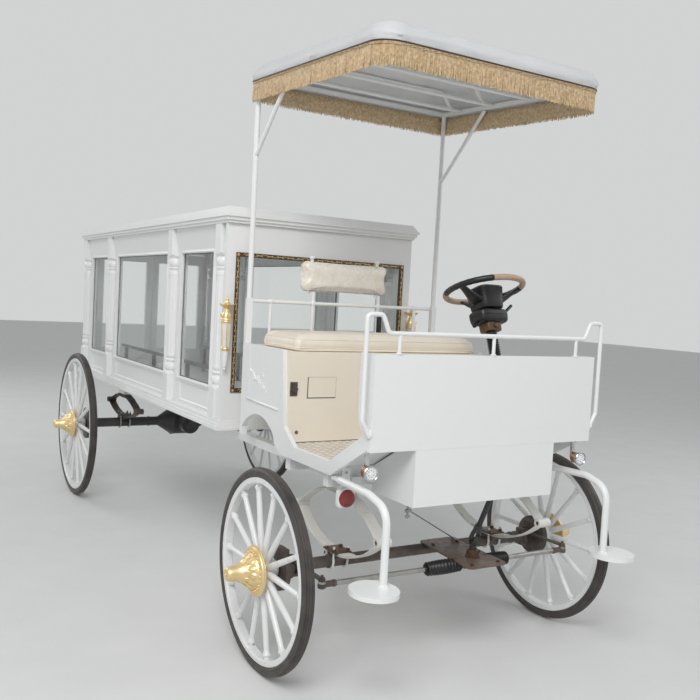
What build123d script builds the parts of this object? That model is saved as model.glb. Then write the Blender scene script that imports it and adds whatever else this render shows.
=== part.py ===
from build123d import *
import os
from math import atan2, cos, degrees, radians, sin, sqrt

os.makedirs("parts", exist_ok=True)

# Frame: +X forward, +Y to the vehicle's left, +Z up, origin on the ground under the middle.
# Driving sizes, in millimetres.
front_axle_x = 1703.0
wheelbase = 3264.0
rear_axle_x = front_axle_x - wheelbase
front_wheel_radius = 420.0
rear_wheel_radius = 521.0
tyre_outer_y = 807.0
tyre_width = 48.0
tyre_depth = 39.0
wheel_mid_y = tyre_outer_y - tyre_width / 2
seat_gap = 0.3
moving_gap = 5.0
running_gap = 0.08

# Wheels
spoke_count = 14
rim_width = 42.0
rim_depth = 26.0
spoke_foot_radius = 15.0
spoke_tip_radius = 11.0
spoke_collar_radius = 17.0
hub_radius = 44.0
hub_inner = -56.0
hub_outer = 30.0
spindle_radius = 15.0
flange_radius = 105.0
flange_thickness = 12.0
cap_reach = 143.0

# Front axle, knuckles and steering
kingpin_y = 655.0
kingpin_radius = 10.0
boss_radius = 22.0
boss_half = 28.0
lug_thickness = 12.0
axle_tube_radius = 25.0
drum_radius = 92.0
drum_inner_y = 697.0
drum_outer_y = 720.0
rack_x = front_axle_x + 262.0
rack_z = 425.0
rack_radius = 11.0
rack_housing_radius = 20.0
rack_housing = (37.0, 160.0)
rack_bellows = (-146.0, 300.0)
bellows_radius = 30.0
tie_rod_end_y = 650.0
tie_rod_end_radius = 16.0
arm_z = 440.0
arm_thickness = 7.5
arm_half_width = 14.0
pinion_y = 105.0
steering_top = (front_axle_x + 290.0, 180.0, 747.0)

# Rear axle
rear_tube_radius = 34.0
rear_drum_radius = 112.0
differential_radius = 105.0
differential_y = 20.0

# Leaf springs
spring_y = 430.0
spring_width = 55.0
leaf_thickness = 7.0
front_spring_reach = 345.0
front_spring_top = 738.0
rear_spring_reach = 360.0
rear_spring_top = 738.0
eye_radius = 16.0

# Chassis
rail_z = 771.0
rail_height = 40.0
rail_width = 50.0
rail_rear_x = front_axle_x - 4050.0
rail_front_x = front_axle_x + 130.0
cross_rail_offsets = [-3850.0, -3264.0, -2400.0, -1500.0]

# Glass body
body_half = 582.0
body_front_x = front_axle_x - 1020.0
post_offsets = [-4025.0, -3295.0, -1912.0, -1146.0]
post_width = 84.0
post_foot_z = 875.0
post_foot_block_z = 1048.0
post_head_block_z = 1746.0
deck_bottom_z = 827.0
deck_spreads = [20.0, 12.0, 4.0]
wall_outer_y = body_half - post_width / 2
wall_thickness = 25.0
sill_z = 1034.0
window_top_z = 1766.0
window_border = 84.0
bead_width = 18.0
bead_depth = 10.0
field_border = 110.0
frieze_reach = 23.0
cornice_bottom_z = 1912.0
cornice_top_z = 1996.0
cornice_half = body_half + 23.0
cornice_front_x = front_axle_x - 981.0
cornice_rear_x = front_axle_x - 4090.0
glass_thickness = 5.0
front_window_half = body_half - 54.0
front_window_bottom_z = 1025.0
front_window_top_z = 1762.0
front_frame_width = 22.0
front_window_inset = 14.0
door_thickness = 25.0
door_border = 50.0

# Cab
cab_half = 577.0
cab_side_thickness = 20.0
cab_rear_x = front_axle_x - 738.0
cab_front_x = front_axle_x + 445.0
cab_floor_z = 885.0
cab_bottom_z = 833.0
side_foot_z = 871.0
side_top_z = 1307.0
front_panel_bottom_z = 978.0
front_panel_top_z = 1351.0
panel_thickness = 20.0
door_rear_x = front_axle_x - 324.0
door_front_x = front_axle_x + 345.0
toe_front_z = 1032.0
seat_front_x = front_axle_x - 285.0
seat_base_z = 977.0
seat_top_z = 1300.0
box_half = 365.0
box_bottom_z = 751.0
box_rear_x = front_axle_x + 146.0

# Canopy
post_size = 28.0
post_x = cab_rear_x - post_size / 2 - 0.5
post_y = cab_half - 15.0
canopy_rear_x = front_axle_x - 783.0
canopy_front_x = front_axle_x + 391.0
canopy_half = cab_half + 8.0
canopy_rear_z = 2581.0
canopy_front_z = 2523.0
canopy_front_corner = 99.0
canopy_rear_corner = 18.0
canopy_band = 75.0
canopy_crown = 50.0
canopy_skin = 6.0
fringe_height = 97.0
fringe_thickness = 7.0
frame_tube_radius = 11.0


def finish(part, label):
    """Label one finished piece and write it."""
    part.label = label
    export_step(part, f"parts/{label}.step")


def tube_path(points, radii):
    """A wire of straight runs with rounded corners."""
    return FilletPolyline(*points, radius=radii)


def make_wheel(radius):
    """White wheel about the Y axis, its outer face towards +Y."""
    rim_radius = radius - tyre_depth - seat_gap
    rim_inner = rim_radius - rim_depth
    with BuildPart() as wheel:
        with BuildSketch(Plane.XY):
            with Locations((rim_radius - rim_depth / 2, 0)):
                RectangleRounded(rim_depth, rim_width, 5)
        revolve(axis=Axis.Y)
        with BuildSketch(Plane.XY):
            with BuildLine():
                Polyline(
                    (spindle_radius + running_gap, hub_inner),
                    (hub_radius - 8, hub_inner),
                    (hub_radius, hub_inner + 12),
                    (hub_radius + 6, -12),
                    (hub_radius + 6, 12),
                    (hub_radius, hub_outer),
                    (spindle_radius + running_gap, hub_outer),
                    close=True,
                )
            make_face()
        revolve(axis=Axis.Y)
        with BuildPart(mode=Mode.PRIVATE) as spoke:
            with BuildSketch(Plane.XY):
                with BuildLine():
                    Polyline(
                        (hub_radius - 6, 0),
                        (hub_radius - 6, spoke_foot_radius),
                        (rim_inner - 34, spoke_tip_radius),
                        (rim_inner - 16, spoke_collar_radius),
                        (rim_inner - 8, spoke_tip_radius),
                        (rim_inner + 3, spoke_tip_radius),
                        (rim_inner + 3, 0),
                        close=True,
                    )
                make_face()
            revolve(axis=Axis.X)
        for turn in range(spoke_count):
            with Locations(Location((0, 0, 0), (0, turn * 360 / spoke_count, 0))):
                add(spoke.part)
    return wheel.part


def make_tyre(radius):
    """Solid tyre about the Y axis with a rounded tread."""
    inner = radius - tyre_depth
    with BuildPart() as tyre:
        with BuildSketch(Plane.XY):
            with BuildLine():
                ThreePointArc((radius - 12, tyre_width / 2), (radius, 0), (radius - 12, -tyre_width / 2))
                Polyline(
                    (radius - 12, -tyre_width / 2),
                    (inner + 6, -tyre_width / 2),
                    (inner, -rim_width / 2),
                    (inner, rim_width / 2),
                    (inner + 6, tyre_width / 2),
                    (radius - 12, tyre_width / 2),
                )
            make_face()
        revolve(axis=Axis.Y)
    return tyre.part


def make_hub_cap():
    """Turned cap about the Y axis: bolted flange, stepped barrel and nut end."""
    face = hub_outer + seat_gap
    tip = tyre_width / 2 + cap_reach
    with BuildPart() as cap:
        with BuildSketch(Plane.XY):
            with BuildLine():
                Polyline(
                    (0, face),
                    (flange_radius - 3, face),
                    (flange_radius, face + 4),
                    (flange_radius - 4, face + flange_thickness),
                    (72, face + flange_thickness + 3),
                    (68, face + 30),
                    (60, face + 34),
                    (57, face + 58),
                    (47, face + 62),
                    (44, face + 88),
                    (34, face + 94),
                )
                ThreePointArc((34, face + 94), (30, face + 112), (22, tip - 14))
                Line((22, tip - 14), (20, tip))
                Line((20, tip), (0, tip))
                Line((0, tip), (0, face))
            make_face()
        revolve(axis=Axis.Y)
    return cap.part


# Wheels, tyres and hub caps: name, radius, axle x, side (+1 left)
wheel_table = [
    ("front_right", front_wheel_radius, front_axle_x, -1),
    ("front_left", front_wheel_radius, front_axle_x, 1),
    ("rear_right", rear_wheel_radius, rear_axle_x, -1),
    ("rear_left", rear_wheel_radius, rear_axle_x, 1),
]
wheel_shapes = {radius: make_wheel(radius) for radius in (front_wheel_radius, rear_wheel_radius)}
tyre_shapes = {radius: make_tyre(radius) for radius in (front_wheel_radius, rear_wheel_radius)}
hub_cap_shape = make_hub_cap()
for corner, radius, axle_x, side in wheel_table:
    place = Location((axle_x, side * wheel_mid_y, radius), (0, 0, 90 - 90 * side))
    for kind, shape in (("wheel", wheel_shapes[radius]), ("tyre", tyre_shapes[radius]), ("hub_cap", hub_cap_shape)):
        with BuildPart() as placed:
            with Locations(place):
                add(shape)
        finish(placed.part, f"{kind}_{corner}")

# Front axle: tube, spring seats and a yoke with its kingpin at each end
yoke_web_y = kingpin_y - boss_radius - moving_gap
with BuildPart() as front_axle:
    with BuildSketch(Plane.XZ.offset(-(yoke_web_y - 10))):
        with Locations((front_axle_x, front_wheel_radius)):
            Circle(axle_tube_radius)
    extrude(amount=2 * (yoke_web_y - 10))
    lug_z = boss_half + running_gap
    for side in (-1, 1):
        with Locations((front_axle_x, side * (yoke_web_y - 6), front_wheel_radius)):
            Box(2 * boss_radius, 12, 2 * (lug_z + lug_thickness))
        for level in (-1, 1):
            lug_foot_z = front_wheel_radius + level * (lug_z + lug_thickness / 2) - lug_thickness / 2
            with BuildSketch(Plane.XY.offset(lug_foot_z)):
                with Locations((front_axle_x, side * kingpin_y)):
                    Circle(boss_radius)
                with Locations((front_axle_x, side * (yoke_web_y + kingpin_y) / 2)):
                    Rectangle(2 * boss_radius, kingpin_y - yoke_web_y)
            extrude(amount=lug_thickness)
        with BuildSketch(Plane.XY.offset(front_wheel_radius - lug_z - lug_thickness)):
            with Locations((front_axle_x, side * kingpin_y)):
                Circle(kingpin_radius)
        extrude(amount=2 * (lug_z + lug_thickness))
        with Locations((front_axle_x, side * spring_y, front_wheel_radius + axle_tube_radius - 2)):
            Box(110, spring_width + 14, 12)
finish(front_axle.part, "front_axle")

# Knuckles: boss on the kingpin, spindle into the hub, brake plate and steering arm
for name, side in (("right", -1), ("left", 1)):
    with BuildPart() as knuckle:
        with BuildSketch(Plane.XY.offset(front_wheel_radius - boss_half)):
            with Locations((front_axle_x, side * kingpin_y)):
                Circle(boss_radius)
        extrude(amount=2 * boss_half)
        with BuildSketch(Plane.XZ.offset(-side * (kingpin_y + 8))):
            with Locations((front_axle_x, front_wheel_radius)):
                Circle(spindle_radius)
        extrude(amount=-side * (wheel_mid_y + hub_outer - 6 - kingpin_y - 8))
        with BuildSketch(Plane.XZ.offset(-side * drum_inner_y)):
            with Locations((front_axle_x, front_wheel_radius)):
                Circle(drum_radius)
        extrude(amount=-side * (drum_outer_y - drum_inner_y))
        with BuildSketch(Plane.XZ.offset(-side * (kingpin_y + 12))):
            with Locations((front_axle_x, front_wheel_radius)):
                Circle(spindle_radius + 12)
        extrude(amount=-side * (drum_inner_y - kingpin_y - 12))
        with BuildSketch(Plane.XY.offset(arm_z)):
            with Locations((rack_x, side * tie_rod_end_y)):
                Circle(arm_half_width)
            with Locations(((front_axle_x + boss_radius + rack_x) / 2 - 4, side * tie_rod_end_y)):
                Rectangle(rack_x - front_axle_x - boss_radius + 8, 1.6 * arm_half_width)
        extrude(amount=arm_thickness)
        with BuildSketch(Plane.XY.offset(front_wheel_radius - boss_half)):
            with Locations((front_axle_x, side * kingpin_y)):
                Circle(kingpin_radius + running_gap)
        extrude(amount=2 * boss_half, mode=Mode.SUBTRACT)
    finish(knuckle.part, f"knuckle_{name}")

# Rack bar with its tie rods: slides across the car, ends just under the steering arms
with BuildPart() as tie_rods:
    with BuildSketch(Plane.XZ.offset(-tie_rod_end_y)):
        with Locations((rack_x, rack_z)):
            Circle(rack_radius)
    extrude(amount=2 * tie_rod_end_y)
    with BuildSketch(Plane.XY.offset(rack_z - tie_rod_end_radius + 2)):
        with Locations((rack_x, -tie_rod_end_y), (rack_x, tie_rod_end_y)):
            Circle(tie_rod_end_radius)
    extrude(amount=arm_z - 1 - (rack_z - tie_rod_end_radius + 2))
finish(tie_rods.part, "tie_rods")

# Steering gear: plate from the axle, rack housing, bellows, pinion tower and lower shaft
with BuildPart() as steering_gear:
    with BuildSketch(Plane.XZ.offset(-rack_housing[1])):
        with Locations((rack_x, rack_z)):
            Circle(rack_housing_radius)
    extrude(amount=rack_housing[1] - rack_housing[0])
    with BuildSketch(Plane.XY.offset(front_wheel_radius + axle_tube_radius + seat_gap)):
        with BuildLine():
            FilletPolyline(
                (front_axle_x - 25, 20),
                (front_axle_x + 395, -15),
                (front_axle_x + 395, 195),
                (front_axle_x - 25, 210),
                radius=24,
                close=True,
            )
        make_face()
    extrude(amount=8)
    with BuildSketch(Plane.XY.offset(rack_z)):
        with Locations((rack_x, pinion_y)):
            Circle(24)
    extrude(amount=60)
    for start, end, step in ((rack_bellows[0], rack_housing[0], 1), (rack_housing[1], rack_bellows[1], 1)):
        fold_count = 9
        pitch = (end - start) / fold_count
        with BuildSketch(Plane.YZ.offset(rack_x)):
            with BuildLine():
                points = [(start, rack_z + rack_radius + 1)]
                for fold in range(fold_count):
                    points.append((start + pitch * fold, rack_z + bellows_radius - 8))
                    points.append((start + pitch * (fold + 0.5), rack_z + bellows_radius))
                points.append((end, rack_z + bellows_radius - 8))
                points.append((end, rack_z + rack_radius + 1))
                Polyline(*points, close=True)
            make_face()
        revolve(axis=Axis((rack_x, 0, rack_z), (0, 1, 0)))
    with BuildSketch(Plane.XZ.offset(-rack_bellows[1] - 1)):
        with Locations((rack_x, rack_z)):
            Circle(rack_radius + running_gap)
    extrude(amount=rack_bellows[1] - rack_bellows[0] + 2, mode=Mode.SUBTRACT)
finish(steering_gear.part, "steering_gear")

# Lower steering shaft with its universal joint
shaft_foot = Vector(rack_x, pinion_y, rack_z + 60)
shaft_joint = shaft_foot + Vector(0, 0, 45)
shaft_top = Vector(*steering_top)
with BuildPart() as steering_shaft:
    with BuildSketch(Plane(origin=shaft_foot, z_dir=(0, 0, 1))):
        Circle(13)
    extrude(amount=45)
    with Locations(shaft_joint):
        Sphere(21)
    with BuildSketch(Plane(origin=shaft_joint, z_dir=shaft_top - shaft_joint)):
        Circle(12)
    extrude(amount=(shaft_top - shaft_joint).length - 0.5)
finish(steering_shaft.part, "steering_shaft")

# Rear axle: motor car beam with its differential housing, drums and spindles
with BuildPart() as rear_axle:
    with BuildSketch(Plane.XZ.offset(-drum_inner_y)):
        with Locations((rear_axle_x, rear_wheel_radius)):
            Circle(rear_tube_radius)
    extrude(amount=2 * drum_inner_y)
    for side in (-1, 1):
        with BuildSketch(Plane.XZ.offset(-side * drum_inner_y)):
            with Locations((rear_axle_x, rear_wheel_radius)):
                Circle(rear_drum_radius)
        extrude(amount=-side * (drum_outer_y - drum_inner_y))
        with BuildSketch(Plane.XZ.offset(-side * drum_outer_y)):
            with Locations((rear_axle_x, rear_wheel_radius)):
                Circle(spindle_radius)
        extrude(amount=-side * (wheel_mid_y + hub_outer - 6 - drum_outer_y))
        with Locations((rear_axle_x, side * spring_y, rear_wheel_radius + rear_tube_radius - 1)):
            Box(120, spring_width + 14, 14)
    with BuildSketch(Plane.YZ.offset(rear_axle_x)):
        with BuildLine():
            Polyline(
                (differential_y - 190, rear_wheel_radius),
                (differential_y - 190, rear_wheel_radius + rear_tube_radius),
                (differential_y - 80, rear_wheel_radius + differential_radius),
                (differential_y + 80, rear_wheel_radius + differential_radius),
                (differential_y + 190, rear_wheel_radius + rear_tube_radius),
                (differential_y + 190, rear_wheel_radius),
                close=True,
            )
        make_face()
    revolve(axis=Axis((rear_axle_x, 0, rear_wheel_radius), (0, 1, 0)))
    with BuildSketch(Plane.YZ.offset(rear_axle_x)):
        with Locations((differential_y, rear_wheel_radius)):
            Circle(70)
    extrude(amount=230)
finish(rear_axle.part, "rear_axle")


def make_elliptic_spring(centre_x, seat_z, top_z, reach):
    """Full elliptic spring: two bowed leaf packs joined by an eye at each end."""
    mid_z = (seat_z + top_z) / 2
    pack = 2 * leaf_thickness
    with BuildPart() as spring:
        with BuildSketch(Plane.XZ.offset(spring_width / 2)):
            for low, tip_z in ((seat_z, mid_z - 4), (top_z - pack, mid_z + 4 - leaf_thickness)):
                corners = [(centre_x + side * reach, tip_z + rise) for side in (-1, 1) for rise in (0, leaf_thickness)]
                with BuildLine():
                    ThreePointArc(corners[0], (centre_x, low), corners[2])
                    ThreePointArc(corners[1], (centre_x, low + pack), corners[3])
                    Line(corners[0], corners[1])
                    Line(corners[2], corners[3])
                make_face()
            with Locations((centre_x - reach, mid_z), (centre_x + reach, mid_z)):
                Circle(eye_radius)
        extrude(amount=-spring_width)
    return spring.part


# Springs: name, centre x, seat height, top height, half length
spring_table = [
    ("front_springs", front_axle_x, front_wheel_radius + axle_tube_radius + 4, front_spring_top, front_spring_reach),
    ("rear_springs", rear_axle_x, rear_wheel_radius + rear_tube_radius + 6, rear_spring_top, rear_spring_reach),
]
for name, centre_x, seat_z, top_z, reach in spring_table:
    one_spring = make_elliptic_spring(centre_x, seat_z + seat_gap, top_z, reach)
    with BuildPart() as springs:
        with Locations((0, -spring_y, 0), (0, spring_y, 0)):
            add(one_spring)
    finish(springs.part, name)

# Chassis: two long rails, cross rails, spring perches and the cab's bearers
with BuildPart() as chassis_frame:
    for side in (-1, 1):
        with Locations(((rail_rear_x + rail_front_x) / 2, side * spring_y, rail_z + rail_height / 2)):
            Box(rail_front_x - rail_rear_x, rail_width, rail_height)
        for centre_x in (front_axle_x, rear_axle_x):
            with Locations((centre_x, side * spring_y, (front_spring_top + seat_gap + rail_z) / 2)):
                Box(150, spring_width, rail_z - front_spring_top - seat_gap)
    for offset_x in cross_rail_offsets:
        with Locations((front_axle_x + offset_x, 0, rail_z + rail_height / 2)):
            Box(40, 2 * spring_y, rail_height)
    for offset_x in (-270.0, 80.0):
        with Locations((front_axle_x + offset_x, 0, (rail_z + cab_floor_z - 20) / 2)):
            Box(40, 2 * (cab_half - cab_side_thickness) - 8, cab_floor_z - 20 - rail_z)
finish(chassis_frame.part, "chassis_frame")

# Glass body deck: stepped base moulding over a sub floor that lies on the frame
deck_rear_x = front_axle_x + post_offsets[0] - post_width / 2
deck_mid_x = (body_front_x + deck_rear_x) / 2
step_height = (post_foot_z - deck_bottom_z) / len(deck_spreads)
sub_floor_z = rail_z + rail_height + seat_gap
with BuildPart() as body_deck:
    for step, spread in enumerate(deck_spreads):
        length = body_front_x + spread - (deck_rear_x - spread)
        with Locations((deck_mid_x, 0, deck_bottom_z + step_height * (step + 0.5))):
            Box(length, 2 * (body_half + spread), step_height)
    with Locations((deck_mid_x, 0, (sub_floor_z + deck_bottom_z) / 2)):
        Box(body_front_x - deck_rear_x - 120, 2 * body_half - 120, deck_bottom_z - sub_floor_z)
finish(body_deck.part, "body_deck")


def make_body_post():
    """Turned post about Z: square foot and head blocks with scalloped ends, rings, balls, round shaft."""
    half = post_width / 2
    top = cornice_bottom_z - post_foot_z - seat_gap
    foot_top = post_foot_block_z - post_foot_z
    head = post_head_block_z - post_foot_z
    neck = half - 12
    shaft = half - 3
    with BuildPart() as post:
        with Locations((0, 0, top / 2)):
            Box(post_width, post_width, top)
        with BuildSketch(Plane.XZ):
            with BuildLine():
                Polyline(
                    (0, 0),
                    (half * 1.5, 0),
                    (half * 1.5, foot_top - 16),
                    (half - 4, foot_top),
                    (neck, foot_top + 4),
                    (neck, foot_top + 8),
                )
                ThreePointArc((neck, foot_top + 8), (half, foot_top + 31), (neck, foot_top + 54))
                Polyline(
                    (neck, foot_top + 54),
                    (neck, foot_top + 62),
                    (shaft, foot_top + 66),
                    (shaft, foot_top + 76),
                    (neck, foot_top + 80),
                    (neck, foot_top + 86),
                    (shaft, foot_top + 90),
                    (shaft, head - 84),
                    (neck, head - 80),
                    (neck, head - 75),
                    (shaft, head - 71),
                    (shaft, head - 62),
                    (neck, head - 58),
                    (neck, head - 56),
                )
                ThreePointArc((neck, head - 56), (half, head - 31), (neck, head - 8))
                Polyline(
                    (neck, head - 8),
                    (neck, head - 4),
                    (half - 4, head),
                    (half * 1.5, head + 16),
                    (half * 1.5, top),
                    (0, top),
                    (0, 0),
                )
            make_face()
        revolve(axis=Axis.Z, mode=Mode.INTERSECT)
    return post.part


body_post_shape = make_body_post()
with BuildPart() as body_posts:
    for offset_x in post_offsets:
        for side in (-1, 1):
            with Locations((front_axle_x + offset_x, side * wall_outer_y, post_foot_z)):
                add(body_post_shape)
finish(body_posts.part, "body_posts")

# Side walls: one panel between each pair of posts, with its window and lower field
wall_top_z = cornice_bottom_z - seat_gap
wall_mid_y = wall_outer_y - wall_thickness / 2
bays = [(front_axle_x + a + post_width / 2 + 0.5, front_axle_x + b - post_width / 2 - 0.5)
        for a, b in zip(post_offsets[:-1], post_offsets[1:])]
with BuildPart() as side_walls:
    for start_x, end_x in bays:
        mid_x = (start_x + end_x) / 2
        width = end_x - start_x
        pane_width = width - 2 * window_border
        pane_mid_z = (sill_z + window_top_z) / 2
        frieze_z = window_top_z + bead_width
        for side in (-1, 1):
            with Locations((mid_x, side * wall_mid_y, (post_foot_z + wall_top_z) / 2)):
                Box(width, wall_thickness, wall_top_z - post_foot_z)
            with BuildSketch(Plane.YZ.offset(start_x)):
                with BuildLine():
                    Polyline(
                        (side * (wall_outer_y - 1), frieze_z),
                        (side * (wall_outer_y + 3), frieze_z),
                        (side * (wall_outer_y + frieze_reach), wall_top_z),
                        (side * (wall_outer_y - 1), wall_top_z),
                        close=True,
                    )
                make_face()
            extrude(amount=width)
            with Locations((mid_x, side * (wall_outer_y + bead_depth / 2), pane_mid_z)):
                Box(pane_width + 2 * bead_width, bead_depth, window_top_z - sill_z + 2 * bead_width)
            with Locations((mid_x, side * (wall_outer_y + 4), post_foot_z + 6)):
                Box(width, 8, 12)
            with Locations((mid_x, side * wall_mid_y, pane_mid_z)):
                Box(pane_width, wall_thickness + 60, window_top_z - sill_z, mode=Mode.SUBTRACT)
            with Locations((mid_x, side * (wall_outer_y - 3), (post_foot_z + sill_z) / 2 - 3)):
                Box(width - 2 * field_border, 6, sill_z - post_foot_z - 48, mode=Mode.SUBTRACT)
finish(side_walls.part, "side_walls")

# Front wall with its big window and the corner returns that meet the side posts
front_window_mid_z = (front_window_bottom_z + front_window_top_z) / 2
front_return_x = front_axle_x + post_offsets[-1] + post_width / 2 + 0.5
with BuildPart() as front_wall:
    with Locations((body_front_x - wall_thickness / 2, 0, (post_foot_z + wall_top_z) / 2)):
        Box(wall_thickness, 2 * (body_half - 2), wall_top_z - post_foot_z)
    for side in (-1, 1):
        with Locations(((front_return_x + body_front_x) / 2, side * wall_mid_y, (post_foot_z + wall_top_z) / 2)):
            Box(body_front_x - front_return_x, wall_thickness, wall_top_z - post_foot_z)
    with Locations((body_front_x, 0, front_window_mid_z)):
        Box(4 * wall_thickness, 2 * (front_window_half - front_window_inset),
            front_window_top_z - front_window_bottom_z - 2 * front_window_inset, mode=Mode.SUBTRACT)
finish(front_wall.part, "front_wall")

# Gilded frame round the front window
with BuildPart() as front_window_frame:
    with BuildSketch(Plane.YZ.offset(body_front_x + seat_gap)):
        with Locations((0, front_window_mid_z)):
            Rectangle(2 * front_window_half, front_window_top_z - front_window_bottom_z)
            Rectangle(2 * (front_window_half - front_frame_width),
                      front_window_top_z - front_window_bottom_z - 2 * front_frame_width, mode=Mode.SUBTRACT)
    extrude(amount=8)
finish(front_window_frame.part, "front_window_frame")

# Rear frame: jambs, sill and header round the double doors, with the fixed hinge barrels
rear_outer_x = front_axle_x + post_offsets[0] - post_width / 2 + 5
rear_frame_half = wall_outer_y - post_width / 2 - 0.5
rear_door_half = rear_frame_half - 27.5
rear_door_bottom_z = 895.0
rear_door_top_z = cornice_bottom_z - 52.0
hinge_x = rear_outer_x - 8.0
hinge_y = rear_door_half - 2.0
hinge_heights = [1000.0, 1372.0, 1745.0]
hinge_pin_radius = 4.0
hinge_barrel_radius = 7.0
with BuildPart() as rear_frame:
    with Locations((rear_outer_x + wall_thickness / 2, 0, (post_foot_z + wall_top_z) / 2)):
        Box(wall_thickness, 2 * rear_frame_half, wall_top_z - post_foot_z)
    with Locations((rear_outer_x, 0, (rear_door_bottom_z + rear_door_top_z) / 2)):
        Box(4 * wall_thickness, 2 * rear_door_half, rear_door_top_z - rear_door_bottom_z, mode=Mode.SUBTRACT)
    for side in (-1, 1):
        for z in hinge_heights:
            with Locations((hinge_x, side * hinge_y, z)):
                Cylinder(hinge_pin_radius, 82)
            for level in (-1, 1):
                with Locations((hinge_x, side * hinge_y, z + level * 31)):
                    Cylinder(hinge_barrel_radius, 20)
                with Locations((hinge_x + 3, side * (hinge_y + 9), z + level * 31)):
                    Box(11, 18, 20)
finish(rear_frame.part, "rear_frame")

# Rear doors: each leaf framed round its pane, hinged on its outer edge
for name, side in (("right", -1), ("left", 1)):
    leaf_low = 3.0
    leaf_high = rear_door_half - moving_gap
    leaf_mid = side * (leaf_low + leaf_high) / 2
    leaf_width = leaf_high - leaf_low
    leaf_mid_z = (rear_door_bottom_z + rear_door_top_z) / 2
    with BuildPart() as rear_door:
        with Locations((rear_outer_x + door_thickness / 2, leaf_mid, leaf_mid_z)):
            Box(door_thickness, leaf_width, rear_door_top_z - rear_door_bottom_z - 2 * moving_gap)
        with Locations((rear_outer_x + door_thickness / 2, leaf_mid, (sill_z + window_top_z) / 2)):
            Box(2 * door_thickness, leaf_width - 2 * door_border, window_top_z - sill_z, mode=Mode.SUBTRACT)
        with Locations((rear_outer_x - 12, side * 30, 1330)):
            Cylinder(8, 90)
        with Locations((rear_outer_x - 3, side * 30, 1295), (rear_outer_x - 3, side * 30, 1365)):
            Box(12, 14, 14)
        for z in hinge_heights:
            with Locations((hinge_x, side * hinge_y, z)):
                Cylinder(hinge_barrel_radius, 40)
            with Locations((hinge_x + 3, side * (hinge_y - 9), z)):
                Box(11, 18, 40)
            with Locations((hinge_x, side * hinge_y, z)):
                Cylinder(hinge_pin_radius + running_gap, 84, mode=Mode.SUBTRACT)
    finish(rear_door.part, f"rear_door_{name}")
    with BuildPart() as door_glass:
        with Locations((rear_outer_x + door_thickness / 2, leaf_mid, (sill_z + window_top_z) / 2)):
            Box(glass_thickness, leaf_width - 2 * door_border - 0.6, window_top_z - sill_z - 0.6)
    finish(door_glass.part, f"rear_door_glass_{name}")

# Panes of the side and front windows
with BuildPart() as body_glass:
    for start_x, end_x in bays:
        for side in (-1, 1):
            with Locations(((start_x + end_x) / 2, side * wall_mid_y, (sill_z + window_top_z) / 2)):
                Box(end_x - start_x - 2 * window_border - 0.6, glass_thickness, window_top_z - sill_z - 0.6)
    with Locations((body_front_x - wall_thickness / 2, 0, front_window_mid_z)):
        Box(glass_thickness, 2 * (front_window_half - front_window_inset) - 0.6,
            front_window_top_z - front_window_bottom_z - 2 * front_window_inset - 0.6)
finish(body_glass.part, "body_glass")

# Roof: stepped cornice under a slightly crowned top. Rows: inset, low and high above the cornice's foot
cornice_rows = [(20.0, 0.0, 14.0), (10.0, 14.0, 32.0), (0.0, 32.0, 48.0), (9.0, 48.0, 60.0), (17.0, 60.0, 72.0),
                (27.0, 72.0, 84.0)]
cornice_mid_x = (cornice_front_x + cornice_rear_x) / 2
cornice_length = cornice_front_x - cornice_rear_x
roof_rise = 20.0
with BuildPart() as roof:
    for inset, low, high in cornice_rows:
        with Locations((cornice_mid_x, 0, cornice_bottom_z + (low + high) / 2)):
            Box(cornice_length - 2 * inset, 2 * (cornice_half - inset), high - low)
    with BuildSketch(Plane.XY.offset(cornice_top_z)):
        with Locations((cornice_mid_x, 0)):
            Rectangle(cornice_length - 80, 2 * cornice_half - 80)
    with BuildSketch(Plane.XY.offset(cornice_top_z + roof_rise)):
        with Locations((cornice_mid_x, 0)):
            Rectangle(cornice_length - 600, 2 * cornice_half - 500)
    loft()
finish(roof.part, "roof")

# Casket rails inside the glass body
casket_rail_y = 330.0
casket_rail_height = 205.0
casket_rail_size = 22.0
with BuildPart() as casket_rails:
    for side in (-1, 1):
        with Locations((front_axle_x - 2560, side * casket_rail_y, post_foot_z + casket_rail_height)):
            Box(2300, casket_rail_size, casket_rail_size)
        for offset_x in (-3600.0, -2900.0, -2200.0, -1500.0):
            leg_height = casket_rail_height - casket_rail_size / 2 - seat_gap
            leg_z = post_foot_z + seat_gap + leg_height / 2
            with Locations((front_axle_x + offset_x, side * casket_rail_y, leg_z)):
                Box(casket_rail_size, casket_rail_size, leg_height)
finish(casket_rails.part, "casket_rails")

# Cab floor with its sloping toe board
toe_slope = (toe_front_z - 4 - (cab_floor_z - 20)) / (cab_front_x - panel_thickness - 2 - front_axle_x - 143)
floor_half = cab_half - cab_side_thickness - seat_gap
with BuildPart() as cab_floor:
    with BuildSketch(Plane.XZ.offset(floor_half)):
        with BuildLine():
            Polyline(
                (seat_front_x - 45, cab_floor_z - 20),
                (front_axle_x + 143, cab_floor_z - 20),
                (cab_front_x - panel_thickness - 2, toe_front_z - 4),
                (cab_front_x - panel_thickness - 2, toe_front_z + 19),
                (front_axle_x + 136, cab_floor_z),
                (seat_front_x - 45, cab_floor_z),
                close=True,
            )
        make_face()
    extrude(amount=-2 * floor_half)
finish(cab_floor.part, "cab_floor")

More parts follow.
